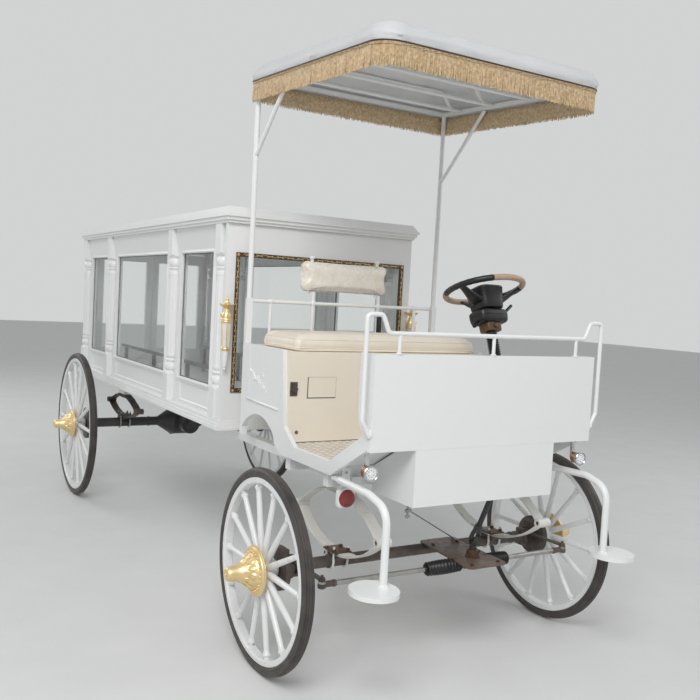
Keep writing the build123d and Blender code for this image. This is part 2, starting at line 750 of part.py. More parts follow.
# Cab sides: wheel arch, doorway and inclined toe band in one sheet
with BuildPart() as cab_sides:
    with BuildSketch(Plane.XZ.offset(cab_half)):
        with BuildLine():
            Polyline(
                (front_axle_x - 371, side_foot_z),
                (front_axle_x - 317, cab_bottom_z),
                (front_axle_x + 153, cab_bottom_z),
                (cab_front_x - panel_thickness - seat_gap, 985),
                (cab_front_x - panel_thickness - seat_gap, front_panel_top_z),
                (door_front_x, front_panel_top_z),
                (door_front_x, 1140),
            )
            ThreePointArc((door_front_x, 1140), (door_front_x + 12, 1080), (front_axle_x + 392, toe_front_z + 4))
            Polyline(
                (front_axle_x + 392, toe_front_z + 4),
                (front_axle_x + 136, cab_floor_z + 3),
                (front_axle_x - 171, cab_floor_z + 3),
                (front_axle_x - 282, 963),
                (door_rear_x, side_top_z),
                (cab_rear_x, side_top_z),
                (cab_rear_x, 895),
            )
            ThreePointArc((cab_rear_x, 895), (front_axle_x - 597, 974), (front_axle_x - 430, 940))
            ThreePointArc((front_axle_x - 430, 940), (front_axle_x - 391, 911), (front_axle_x - 371, side_foot_z))
        make_face()
    extrude(amount=-cab_side_thickness)
    mirror(about=Plane.XZ)
finish(cab_sides.part, "cab_sides")

# Front panel
with BuildPart() as front_panel:
    with Locations((cab_front_x - panel_thickness / 2, 0, (front_panel_bottom_z + front_panel_top_z) / 2)):
        Box(panel_thickness, 2 * cab_half, front_panel_top_z - front_panel_bottom_z)
finish(front_panel.part, "front_panel")

# Battery box under the toe board, with the notch that the steering shaft enters
with BuildPart() as battery_box:
    with BuildSketch(Plane.XZ.offset(box_half)):
        with BuildLine():
            Polyline(
                (box_rear_x, box_bottom_z),
                (cab_front_x, box_bottom_z),
                (cab_front_x, front_panel_bottom_z - seat_gap),
                (cab_front_x - 85, front_panel_bottom_z - seat_gap),
                (box_rear_x, cab_floor_z - 26),
                close=True,
            )
        make_face()
    extrude(amount=-2 * box_half)
finish(battery_box.part, "battery_box")

# Seat box: raised base over the arches and a front board down to the floor
with BuildPart() as seat_box:
    with Locations(((cab_rear_x + 8 + seat_front_x) / 2, 0, (seat_base_z + seat_top_z) / 2)):
        Box(seat_front_x - cab_rear_x - 8, 2 * floor_half, seat_top_z - seat_base_z)
    with Locations((cab_rear_x - 12, 0, (seat_base_z + seat_top_z) / 2)):
        Box(60, 2 * (post_y - post_size / 2 - seat_gap), seat_top_z - seat_base_z)
    with Locations((seat_front_x - 10, 0, (cab_floor_z + seat_gap + seat_top_z) / 2)):
        Box(20, 2 * floor_half, seat_top_z - cab_floor_z - seat_gap)
finish(seat_box.part, "seat_box")

# Seat cushion and backrest
with BuildPart() as seat_cushion:
    with Locations(((cab_rear_x + seat_front_x) / 2 + 20, 0, seat_top_z + seat_gap + 42)):
        Box(seat_front_x - cab_rear_x - 60, 2 * cab_half - 94, 84)
    fillet(seat_cushion.edges().filter_by(Axis.Z), 30)
finish(seat_cushion.part, "seat_cushion")

back_x = front_axle_x - 798.0
back_bottom_z = 1573.0
back_height = 165.0
with BuildPart() as seat_back:
    with BuildSketch(Plane.YZ.offset(back_x - 18)):
        with Locations((0, back_bottom_z + back_height / 2)):
            RectangleRounded(520, back_height, 26)
    extrude(amount=62)
finish(seat_back.part, "seat_back")

# Cab rails: rear rail with uprights, and the dash rail that curls down beside the panel
rail_tube = 9.0
rear_rail_z = 1516.0
rear_rail_x = post_x - 10
rail_foot_z = 1100.0
rail_cross_z = 1430.0
rail_top_z = 1500.0
with BuildPart() as cab_rails:
    with BuildSketch(Plane.XZ.offset(-(post_y - post_size / 2 - seat_gap))):
        with Locations((rear_rail_x, rear_rail_z)):
            Circle(rail_tube)
    extrude(amount=2 * (post_y - post_size / 2 - seat_gap))
    for y, top_z in ((-440.0, rear_rail_z), (-200.0, back_bottom_z), (200.0, back_bottom_z), (440.0, rear_rail_z)):
        with BuildSketch(Plane.XY.offset(seat_top_z + seat_gap)):
            with Locations((rear_rail_x, y)):
                Circle(rail_tube)
        extrude(amount=top_z - seat_top_z - 2 * seat_gap)
    dash_x = cab_front_x - 8
    side_y = cab_half + 38
    with BuildLine() as dash_line:
        tube_path(
            [
                (dash_x, cab_half + 8, 1046),
                (dash_x, side_y, rail_foot_z),
                (dash_x, side_y, rail_top_z),
                (dash_x, cab_half - 30, rail_top_z),
                (dash_x, cab_half - 62, rail_cross_z),
                (dash_x, -(cab_half - 62), rail_cross_z),
                (dash_x, -(cab_half - 30), rail_top_z),
                (dash_x, -side_y, rail_top_z),
                (dash_x, -side_y, rail_foot_z),
                (dash_x, -(cab_half + 8), 1046),
            ],
            20,
        )
    with BuildSketch(Plane(origin=dash_line.line @ 0, z_dir=dash_line.line % 0)):
        Circle(rail_tube)
    sweep(path=dash_line.line)
    with Locations((dash_x, cab_half + 6, 1050), (dash_x, -(cab_half + 6), 1050)):
        Box(14, 12 - 2 * seat_gap, 30)
    for y in (-465.0, 0.0, 465.0):
        with BuildSketch(Plane.XY.offset(front_panel_top_z + seat_gap)):
            with Locations((dash_x, y)):
                Circle(rail_tube * 0.8)
        extrude(amount=rail_cross_z - front_panel_top_z - seat_gap)
finish(cab_rails.part, "cab_rails")

# Canopy: everything is drawn in its own sloping plane
canopy_length = canopy_front_x - canopy_rear_x
canopy_tilt = degrees(atan2(canopy_rear_z - canopy_front_z, canopy_length))
canopy_mid = ((canopy_front_x + canopy_rear_x) / 2, 0, (canopy_rear_z + canopy_front_z) / 2)
canopy_plane = Plane(origin=canopy_mid, x_dir=(cos(radians(canopy_tilt)), 0, -sin(radians(canopy_tilt))),
                     z_dir=(sin(radians(canopy_tilt)), 0, cos(radians(canopy_tilt))))


def canopy_outline(inset):
    """Plan outline of the canopy, pulled in by inset, rounder at the front."""
    with BuildSketch(Plane.XY, mode=Mode.PRIVATE) as outline:
        Rectangle(canopy_length - 2 * inset, 2 * (canopy_half - inset))
        fillet(outline.vertices().group_by(Axis.X)[-1], radius=canopy_front_corner - inset)
        fillet(outline.vertices().group_by(Axis.X)[0], radius=max(canopy_rear_corner - inset, 3))
    return outline.sketch


with BuildPart() as canopy_cover:
    for inset, mode in ((0.0, Mode.ADD), (canopy_skin, Mode.SUBTRACT)):
        with BuildSketch(canopy_plane):
            add(canopy_outline(inset))
        extrude(amount=canopy_band - inset, mode=mode)
        with BuildSketch(canopy_plane.offset(canopy_band - inset)):
            Rectangle(canopy_length - 60 - 2 * inset, 2 * canopy_half - 60 - 2 * inset)
        with BuildSketch(canopy_plane.offset(canopy_band + canopy_crown - inset)):
            Rectangle(canopy_length - 300, 2 * canopy_half - 340)
        loft(mode=mode)
finish(canopy_cover.part, "canopy_cover")

with BuildPart() as canopy_fringe:
    with BuildSketch(canopy_plane.offset(-fringe_height)):
        add(canopy_outline(0.0))
        add(canopy_outline(fringe_thickness), mode=Mode.SUBTRACT)
    extrude(amount=fringe_height - seat_gap)
finish(canopy_fringe.part, "canopy_fringe")

# Canopy frame: thick lower posts, tube uprights, braces, perimeter tube and flat topped bows
frame_inset = canopy_skin + frame_tube_radius + seat_gap
frame_half = canopy_half - frame_inset
lower_post_bottom_z = cab_bottom_z + 20
lower_post_top_z = rear_rail_z + rail_tube + 3
with BuildPart() as canopy_frame:
    for side in (-1, 1):
        with Locations((post_x, side * post_y, (lower_post_bottom_z + lower_post_top_z) / 2)):
            Box(post_size, post_size, lower_post_top_z - lower_post_bottom_z)
        with BuildSketch(Plane.XY.offset(lower_post_top_z - 10)):
            with Locations((post_x, side * post_y)):
                Circle(13)
        extrude(amount=canopy_rear_z + 22 - lower_post_top_z)
        brace_foot = Vector(post_x, side * post_y, 2220)
        brace_head = Vector(post_x + 350, side * post_y, 2220 + 345)
        with BuildSketch(Plane(origin=brace_foot, z_dir=brace_head - brace_foot)):
            Circle(frame_tube_radius - 1)
        extrude(amount=(brace_head - brace_foot).length)
    with BuildSketch(canopy_plane.offset(4)):
        add(canopy_outline(frame_inset - frame_tube_radius))
        add(canopy_outline(frame_inset + frame_tube_radius), mode=Mode.SUBTRACT)
    extrude(amount=2 * frame_tube_radius)
    for share in (-0.34, -0.115, 0.115, 0.34):
        bow_plane = Plane(origin=canopy_plane.from_local_coords(Vector(share * canopy_length, 0, 0)),
                          x_dir=(0, 1, 0), z_dir=canopy_plane.x_dir)
        bow_half = canopy_half - 155 - canopy_skin
        bow_top = canopy_band + canopy_crown - canopy_skin - frame_tube_radius - 14
        with BuildLine(bow_plane) as bow_line:
            FilletPolyline((-bow_half - 60, 15), (-bow_half, bow_top), (bow_half, bow_top), (bow_half + 60, 15),
                           radius=60)
        with BuildSketch(Plane(origin=bow_line.line @ 0, z_dir=bow_line.line % 0)):
            Circle(frame_tube_radius - 1)
        sweep(path=bow_line.line)
        with BuildSketch(Plane(origin=canopy_plane.from_local_coords(Vector(share * canopy_length, -frame_half, 15)),
                               z_dir=(0, 1, 0))):
            Circle(frame_tube_radius - 2)
        extrude(amount=2 * frame_half)
finish(canopy_frame.part, "canopy_frame")

# Steps: swan necked tube from the cab's underside down to an oval plate
step_x = front_axle_x + 583
step_plate_z = 490.0
step_plate_thickness = 18.0
step_tube_radius = 15.0
step_tube_y = cab_half - 5
with BuildPart() as steps:
    for side in (-1, 1):
        with BuildLine() as step_line:
            tube_path(
                [
                    (front_axle_x + 196, side * (cab_half - 22), cab_bottom_z - 12),
                    (front_axle_x + 450, side * (cab_half - 2), 824),
                    (step_x - 8, side * step_tube_y, 790),
                    (step_x - 8, side * step_tube_y, step_plate_z + 10),
                ],
                [120, 80],
            )
        with BuildSketch(Plane.XY.offset(step_plate_z)):
            with Locations((step_x, side * (cab_half + 39))):
                Ellipse(101, 92)
        extrude(amount=step_plate_thickness)
        with BuildSketch(Plane.XY.offset(step_plate_z + step_plate_thickness - 1)):
            with Locations((step_x - 8, side * step_tube_y)):
                Circle(step_tube_radius + 4)
        extrude(amount=1, mode=Mode.SUBTRACT)
        with BuildSketch(Plane(origin=step_line.line @ 0, z_dir=step_line.line % 0)):
            Circle(step_tube_radius)
        sweep(path=step_line.line)
        with Locations((front_axle_x + 180, side * (cab_half - 24), cab_bottom_z - 8)):
            Box(60, 30, 15)
finish(steps.part, "steps")

# Head lamps and red marker lamps on their brackets
with BuildPart() as headlamps:
    for side in (-1, 1):
        lamp_x = front_axle_x + 414
        lamp_y = side * (cab_half - 23)
        lamp_z = 894.0
        with BuildSketch(Plane.YZ.offset(lamp_x - 30)):
            with Locations((lamp_y, lamp_z)):
                Circle(24)
        with BuildSketch(Plane.YZ.offset(lamp_x + 16)):
            with Locations((lamp_y, lamp_z)):
                Circle(31)
        loft()
        with Locations((lamp_x - 34, side * (floor_half - 9), lamp_z + 52)):
            Box(10, 17, 108)
finish(headlamps.part, "headlamps")

marker_x = front_axle_x + 165
marker_z = 738.0
with BuildPart() as marker_lamps:
    for side in (-1, 1):
        marker_y = side * (cab_half - 72)
        with Locations((marker_x, marker_y, marker_z)):
            Box(26, 84, 84)
        with BuildSketch(Plane.YZ.offset(marker_x + 13)):
            with Locations((marker_y, marker_z)):
                Circle(36)
        extrude(amount=16, taper=14)
        bracket_top = cab_floor_z - 20 + (marker_x - 10 - front_axle_x - 143) * toe_slope - seat_gap
        with Locations((marker_x - 6, marker_y, (marker_z + 32 + bracket_top) / 2)):
            Box(8, 40, bracket_top - marker_z - 32)
finish(marker_lamps.part, "marker_lamps")

# Coach lanterns on the front corners of the glass body. Sections about the axis: radius, height
lantern_x = body_front_x + 36.0
lantern_y = body_half - 1.0
lantern_profile = [(0, 1146), (5, 1150), (7, 1160), (12, 1168), (14, 1180), (17, 1246), (22, 1250), (22, 1262),
                   (18, 1266), (21, 1280), (27, 1396), (30, 1400), (30, 1410), (26, 1418), (22, 1440), (10, 1462),
                   (9, 1472), (5, 1480), (4, 1490), (7, 1498), (3, 1512), (0, 1526)]
with BuildPart() as lanterns:
    for side in (-1, 1):
        with BuildSketch(Plane.XZ.offset(-side * lantern_y)):
            with BuildLine():
                Polyline(*[(lantern_x + radius, z) for radius, z in lantern_profile], close=True)
            make_face()
        revolve(axis=Axis((lantern_x, side * lantern_y, 0), (0, 0, 1)))
        arm_reach = lantern_x - body_front_x - seat_gap
        with Locations((body_front_x + seat_gap + arm_reach / 2, side * (body_half - 12), 1256)):
            Box(arm_reach, 14, 10)
        with Locations((body_front_x + seat_gap + 2, side * (body_half - 14), 1256)):
            Box(4, 22, 34)
finish(lanterns.part, "lanterns")

# Steering column: foot flange on the toe board, tube, pod, and the shaft that carries the wheel
wheel_centre = Vector(front_axle_x - 90, 370, 1628)
column_lean = radians(20)
column_axis = Vector(-sin(column_lean), 0, cos(column_lean))
column_plane = Plane(origin=wheel_centre, x_dir=(0, 1, 0), z_dir=column_axis)
toe_run = Vector(cab_front_x - panel_thickness - 2 - front_axle_x - 136, 0, toe_front_z + 19 - cab_floor_z)
toe_normal = Vector(-toe_run.Z, 0, toe_run.X).normalized()
toe_distance = (wheel_centre - Vector(front_axle_x + 136, 0, cab_floor_z)).dot(toe_normal) - seat_gap
column_length = toe_distance / column_axis.dot(toe_normal)
toe_plane = Plane(origin=wheel_centre - column_axis * column_length, x_dir=(0, 1, 0), z_dir=toe_normal)
column_tube_radius = 22.0
column_flange_radius = 36.0
column_shaft_radius = 9.0
hub_bottom = -104.0
switch_pod_bottom = hub_bottom - 68
column_block_bottom = switch_pod_bottom - 40
with BuildPart() as steering_column:
    with BuildSketch(column_plane.offset(-column_length - column_tube_radius)):
        Circle(column_tube_radius)
    extrude(amount=column_length + column_tube_radius + column_block_bottom + 10)
    split(bisect_by=toe_plane, keep=Keep.TOP)
    with BuildSketch(toe_plane):
        Circle(column_flange_radius)
    extrude(amount=8)
    with BuildSketch(column_plane.offset(column_block_bottom)):
        RectangleRounded(90, 80, 20)
    extrude(amount=switch_pod_bottom - column_block_bottom)
    with BuildSketch(column_plane.offset(switch_pod_bottom)):
        RectangleRounded(160, 112, 30)
    with BuildSketch(column_plane.offset(hub_bottom - seat_gap)):
        RectangleRounded(170, 120, 34)
    loft()
    with BuildSketch(column_plane.offset(hub_bottom - 10)):
        Circle(column_shaft_radius)
    extrude(amount=60)
finish(steering_column.part, "steering_column")

rim_tube = 15.0
rim_centre = 186.0
with BuildPart() as steering_wheel:
    with BuildSketch(Plane(origin=wheel_centre + Vector(0, rim_centre, 0), x_dir=(0, 1, 0),
                           z_dir=column_axis.cross(Vector(0, 1, 0)))):
        Circle(rim_tube)
    revolve(axis=Axis(wheel_centre, column_axis))
    with BuildSketch(column_plane.offset(hub_bottom)):
        Circle(70)
    with BuildSketch(column_plane.offset(4)):
        Circle(76)
    loft()
    for turn in (90, 210, 330):
        spoke_plane = Plane(origin=wheel_centre - column_axis * 24,
                            x_dir=column_plane.x_dir.rotate(Axis((0, 0, 0), column_axis), turn), z_dir=column_axis)
        with BuildSketch(spoke_plane):
            with Locations((105, 0)):
                Rectangle(160, 34)
        extrude(amount=18)
    with BuildSketch(column_plane.offset(hub_bottom)):
        Circle(column_shaft_radius + running_gap)
    extrude(amount=52, mode=Mode.SUBTRACT)
finish(steering_wheel.part, "steering_wheel")
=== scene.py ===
import math
import random

import bmesh
import bpy
import numpy as np
from mathutils import Matrix, Vector, noise
from mathutils.bvhtree import BVHTree


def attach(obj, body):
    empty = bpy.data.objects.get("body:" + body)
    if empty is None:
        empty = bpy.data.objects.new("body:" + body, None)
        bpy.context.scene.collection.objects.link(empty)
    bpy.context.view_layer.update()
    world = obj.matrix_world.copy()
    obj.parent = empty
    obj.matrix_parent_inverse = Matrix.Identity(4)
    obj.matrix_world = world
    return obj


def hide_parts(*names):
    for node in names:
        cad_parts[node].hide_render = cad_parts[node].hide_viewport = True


# Lengths are in metres, angles in degrees where a function says so. Tables of profiles are in millimetres.
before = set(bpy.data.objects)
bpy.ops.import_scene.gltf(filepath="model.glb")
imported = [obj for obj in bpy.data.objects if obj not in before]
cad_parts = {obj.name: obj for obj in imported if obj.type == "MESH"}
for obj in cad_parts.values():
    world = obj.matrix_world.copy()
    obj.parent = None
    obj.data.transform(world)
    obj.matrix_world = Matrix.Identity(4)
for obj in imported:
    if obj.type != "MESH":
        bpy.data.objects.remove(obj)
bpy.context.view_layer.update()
TAU = 2 * math.pi
X, Y, Z = Vector((1, 0, 0)), Vector((0, 1, 0)), Vector((0, 0, 1))
BOTH = (-1, 1)
SIDES = (("right", -1), ("left", 1))
AXLE = 1.703               # front axle from the origin
REAR_X = AXLE - 3.264      # rear axle
FRONT_R, REAR_R = 0.420, 0.521


def add_to_scene(name, data):
    ob = bpy.data.objects.new(name, data)
    bpy.context.scene.collection.objects.link(ob)
    return ob


def make_camera():
    """Camera with the photograph's perspective, its place given in units of 0.84 m from the front axle."""
    focal, width, sensor, unit = 841.12, 700, 36.0, 0.84
    place, (yaw, pitch, roll) = Vector((3.6561, -2.7081, 1.8489)), (0.5432, -0.0612, 0.0541)
    ahead = Vector((-math.cos(yaw) * math.cos(pitch), math.sin(yaw) * math.cos(pitch), math.sin(pitch)))
    level = ahead.cross(Z).normalized()
    above = level.cross(ahead)
    c, s = math.cos(roll), math.sin(roll)
    cam = bpy.data.cameras.new("camera")
    cam.sensor_fit = "HORIZONTAL"
    cam.sensor_width = sensor
    cam.lens = focal / width * sensor
    ob = add_to_scene("camera", cam)
    turn = Matrix((c * level + s * above, c * above - s * level, -ahead)).transposed().to_4x4()
    turn.translation = place * unit + X * AXLE
    ob.matrix_world = turn
    bpy.context.scene.camera = ob


make_camera()


# Materials
def new_material(name):
    m = bpy.data.materials.new(name)
    m.use_nodes = True
    return m, m.node_tree, m.node_tree.nodes["Principled BSDF"]


def noise_node(nt, scale, detail):
    coords = nt.nodes.new("ShaderNodeTexCoord")
    n = nt.nodes.new("ShaderNodeTexNoise")
    n.inputs["Scale"].default_value = scale
    n.inputs["Detail"].default_value = detail
    n.inputs["Roughness"].default_value = 0.55
    nt.links.new(coords.outputs["Object"], n.inputs["Vector"])
    return n


def map_range(nt, value, source, to):
    mr = nt.nodes.new("ShaderNodeMapRange")
    for name, number in zip(("From Min", "From Max", "To Min", "To Max"), (*source, *to)):
        mr.inputs[name].default_value = number
    nt.links.new(value, mr.inputs["Value"])
    return mr.outputs["Result"]


def uneven(nt, scale, detail=4.0, to=(0.0, 1.0)):
    """Noise over the object, spread between the two values of to."""
    return map_range(nt, noise_node(nt, scale, detail).outputs["Fac"], (0.3, 0.7), to)


def mix_colours(nt, factor, a, b):
    """Mix of a and b, each a colour or a socket."""
    mix = nt.nodes.new("ShaderNodeMix")
    mix.data_type = "RGBA"
    nt.links.new(factor, mix.inputs[0])
    for colour, socket in ((a, mix.inputs[6]), (b, mix.inputs[7])):
        if isinstance(colour, tuple):
            socket.default_value = (*colour, 1)
        else:
            nt.links.new(colour, socket)
    return mix.outputs[2]


def surface(name, light, dark, rough, metal=0.0, scale=5.0, bump=0.1, bump_scale=180, bump_size=0.4, coat=0.0,
            stretch=None):
    """Paint, metal, rubber or plastic with uneven colour and sheen and a fine surface. bump_size in millimetres."""
    m, nt, b = new_material(name)
    nt.links.new(mix_colours(nt, uneven(nt, scale, 5.0), dark, light), b.inputs["Base Color"])
    nt.links.new(uneven(nt, scale * 3.1, 4.0, rough), b.inputs["Roughness"])
    fine = noise_node(nt, bump_scale, 3.0)
    if stretch:
        mapping = nt.nodes.new("ShaderNodeMapping")
        mapping.inputs["Scale"].default_value = stretch
        nt.links.new(fine.inputs["Vector"].links[0].from_socket, mapping.inputs["Vector"])
        nt.links.new(mapping.outputs["Vector"], fine.inputs["Vector"])
    bp = nt.nodes.new("ShaderNodeBump")
    bp.inputs["Strength"].default_value = bump
    bp.inputs["Distance"].default_value = bump_size / 1000
    nt.links.new(fine.outputs["Fac"], bp.inputs["Height"])
    nt.links.new(bp.outputs["Normal"], b.inputs["Normal"])
    b.inputs["Metallic"].default_value = metal
    b.inputs["Coat Weight"].default_value = coat
    b.inputs["Coat Roughness"].default_value = 0.12
    return m


# Name, light and dark colour, roughness range, then metal, noise scale, bump, its noise scale and its size
white = surface("white_enamel", (0.84, 0.846, 0.845), (0.836, 0.842, 0.841), (0.285, 0.295), scale=0.7,
                bump=0.0, coat=0.2)
white_wheel = surface("white_wheel_enamel", (0.82, 0.825, 0.825), (0.78, 0.785, 0.785), (0.25, 0.36),
                      scale=7, bump=0.0, coat=0.3)
gold = surface("gilding", (0.92, 0.74, 0.42), (0.80, 0.60, 0.31), (0.32, 0.46), 0.85, 14, 0.25, 140, 0.5)
bronze = surface("dark_bronze", (0.16, 0.10, 0.055), (0.07, 0.045, 0.03), (0.3, 0.5), 0.55, 10, 0.2, 120)
rubber = surface("tyre_rubber", (0.080, 0.070, 0.063), (0.042, 0.038, 0.036), (0.4, 0.6), 0, 12, 0.35,
                 260, 0.6)
black = surface("black_paint", (0.045, 0.043, 0.042), (0.02, 0.02, 0.02), (0.3, 0.5), 0, 8, 0.2, 120,
                coat=0.15)
dark_steel = surface("primed_steel", (0.16, 0.13, 0.11), (0.07, 0.06, 0.055), (0.4, 0.65), 0.4, 11, 0.4,
                     160)
brown_plate = surface("brown_primer", (0.155, 0.105, 0.080), (0.095, 0.065, 0.052), (0.35, 0.55), 0, 12,
    0.3, 150)
steel = surface("bare_steel", (0.50, 0.49, 0.47), (0.33, 0.32, 0.31), (0.28, 0.45), 1, 16, 0.2, 220)
plastic = surface("grained_plastic", (0.014, 0.014, 0.015), (0.008, 0.008, 0.009), (0.32, 0.5), 0,
    14, 0.35, 900)
leather = surface("beige_leather", (0.86, 0.79, 0.68), (0.80, 0.72, 0.60), (0.40, 0.55), 0, 7, 0.4,
                  420, 0.6)
film = surface("cream_leather", (0.90, 0.86, 0.79), (0.80, 0.73, 0.62), (0.20, 0.40), 0, 26, 0.75,
    95, 3.5, 0.25)
tan_leather = surface("tan_leather", (0.50, 0.36, 0.25), (0.41, 0.28, 0.18), (0.35, 0.5), 0, 20,
    0.35, 520, 0.5)
cream_plate = surface("cream_plate", (0.82, 0.78, 0.70), (0.75, 0.70, 0.61), (0.3, 0.45), 0, 6, 0.15,
                      200, coat=0.2)
floor_plate = surface("floor_plate", (0.62, 0.56, 0.48), (0.54, 0.48, 0.40), (0.35, 0.5), 0, 9, 0.1,
                      160)
spring_paint = surface("spring_paint", (0.75, 0.74, 0.70), (0.65, 0.64, 0.59), (0.3, 0.45), 0, 11, 0.2,
                       150, coat=0.2)
grey_seal = surface("window_seal", (0.20, 0.20, 0.20), (0.12, 0.12, 0.12), (0.5, 0.7), 0, 20, 0.2,
    300)
lamp_metal = surface("lamp_chrome", (0.78, 0.78, 0.78), (0.60, 0.60, 0.61), (0.12, 0.25), 1, 20, 0.1, 200)
copper = surface("copper_fins", (0.58, 0.30, 0.17), (0.36, 0.18, 0.10), (0.3, 0.5), 1, 30, 0.2, 300)
lens_glass = surface("lens_cells", (0.90, 0.92, 0.94), (0.80, 0.83, 0.86), (0.05, 0.12), 0, 40, 0.1, 200,
                     coat=0.8)
lamp_glass = surface("lantern_glass", (0.84, 0.82, 0.76), (0.74, 0.71, 0.63), (0.15, 0.30), 0, 18, 0.25, 90,
                     0.8, 0.5)
red_lens = surface("red_lens", (0.30, 0.012, 0.015), (0.17, 0.006, 0.008), (0.10, 0.22), 0, 30, 0.15, 260,
                   coat=0.7)
ply = surface("cream_board", (0.88, 0.81, 0.70), (0.84, 0.76, 0.64), (0.4, 0.55), 0, 4, 0.2, 90,
              stretch=(1, 1, 0.2))
cloth = surface("canopy_vinyl", (0.76, 0.77, 0.78), (0.69, 0.705, 0.72), (0.4, 0.55), 0, 5, 0.35, 500,
                0.5)
# The bullion's colour runs in small spots from pale to dark gold: painted glints and painted shade of the twisted
# strands over the thread's own gold.
bullion_painted_glints = surface("bullion_painted_glints", (0.93, 0.78, 0.54), (0.50, 0.34, 0.17), (0.40, 0.60), 0, 85, 0.3, 600)


def let_light_through(material, share, colour):
    """Lets a part of the light pass through thin cloth."""
    nt = material.node_tree
    mix = nt.nodes.new("ShaderNodeMixShader")
    through = nt.nodes.new("ShaderNodeBsdfTranslucent")
    mix.inputs["Fac"].default_value = share
    through.inputs["Color"].default_value = (*colour, 1)
    nt.links.new(nt.nodes["Principled BSDF"].outputs["BSDF"], mix.inputs[1])
    nt.links.new(through.outputs["BSDF"], mix.inputs[2])
    nt.links.new(mix.outputs["Shader"], nt.nodes["Material Output"].inputs["Surface"])


let_light_through(cloth, 0.22, (0.85, 0.86, 0.84))
let_light_through(bullion_painted_glints, 0.22, (0.90, 0.66, 0.38))


def glass_material():
    m, nt, b = new_material("window_glass")
    b.inputs["Base Color"].default_value = (0.97, 0.99, 0.985, 1)
    b.inputs["Transmission Weight"].default_value = 1.0
    b.inputs["IOR"].default_value = 1.12
    nt.links.new(uneven(nt, 6.0, 4.0, (0.01, 0.05)), b.inputs["Roughness"])
    return m


glass = glass_material()


def paint_underside(material, colour):
    """Faces that look down get another colour."""
    nt = material.node_tree
    base = nt.nodes["Principled BSDF"].inputs["Base Color"]
    geometry = nt.nodes.new("ShaderNodeNewGeometry")
    parts = nt.nodes.new("ShaderNodeSeparateXYZ")
    nt.links.new(geometry.outputs["Normal"], parts.inputs["Vector"])
    down = map_range(nt, parts.outputs["Z"], (-0.3, 0.3), (1.0, 0.0))
    nt.links.new(mix_colours(nt, down, base.links[0].from_socket, colour), base)


paint_underside(floor_plate, (0.80, 0.81, 0.82))

CORNERS = ("front_right", "front_left", "rear_right", "rear_left")
NODE_MATERIALS = (
    (white, "chassis_frame front_springs body_deck body_posts side_walls front_wall rear_frame roof cab_sides "
            "front_panel battery_box cab_rails canopy_frame steps marker_lamps rear_door_right rear_door_left"),
    (dark_steel, "front_axle knuckle_right knuckle_left"), (black, "rear_axle rear_springs steering_shaft"),
    (bronze, "front_window_frame"), (glass, "body_glass rear_door_glass_right rear_door_glass_left"),
    (steel, "casket_rails headlamps tie_rods"), (floor_plate, "cab_floor"), (ply, "seat_box"),
    (leather, "seat_cushion seat_back"), (cloth, "canopy_cover"), (bullion_painted_glints, "canopy_fringe"), (gold, "lanterns"),
    (plastic, "steering_column steering_wheel"), (brown_plate, "steering_gear"),
    (white_wheel, " ".join(f"wheel_{corner}" for corner in CORNERS)),
    (rubber, " ".join(f"tyre_{corner}" for corner in CORNERS)),
    (gold, " ".join(f"hub_cap_{corner}" for corner in CORNERS)),
)
for material, names in NODE_MATERIALS:
    for name in names.split():
        for material_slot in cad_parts[name].material_slots:
            material_slot.material = material


# Mesh building
def mm(*numbers):
    """Pairs of lengths given in millimetres."""
    metres = [n / 1000 for n in numbers]
    return list(zip(metres[::2], metres[1::2]))


def around(count, u=X, v=Z, phase=0.0):
    """Unit vectors spaced evenly round the plane of u and v, the first one phase steps from u."""
    turns = [TAU * (k + phase) / count for k in range(count)]
    return [u * math.cos(a) + v * math.sin(a) for a in turns]


def grid(rows, cols, closed=False):
    """Faces between rows of cols points, each row joined round. closed joins the last row to the first."""
    faces = []
    for k in range(rows if closed else rows - 1):
        m = (k + 1) % rows
        faces += [(k * cols + i, k * cols + (i + 1) % cols, m * cols + (i + 1) % cols, m * cols + i)
                  for i in range(cols)]
    return faces


def ends(rows, cols):
    """Faces that close the first and the last row."""
    return [tuple(reversed(range(cols))), tuple((rows - 1) * cols + k for k in range(cols))]


def per_point(value, count):
    return value if isinstance(value, (list, tuple)) else [value] * count


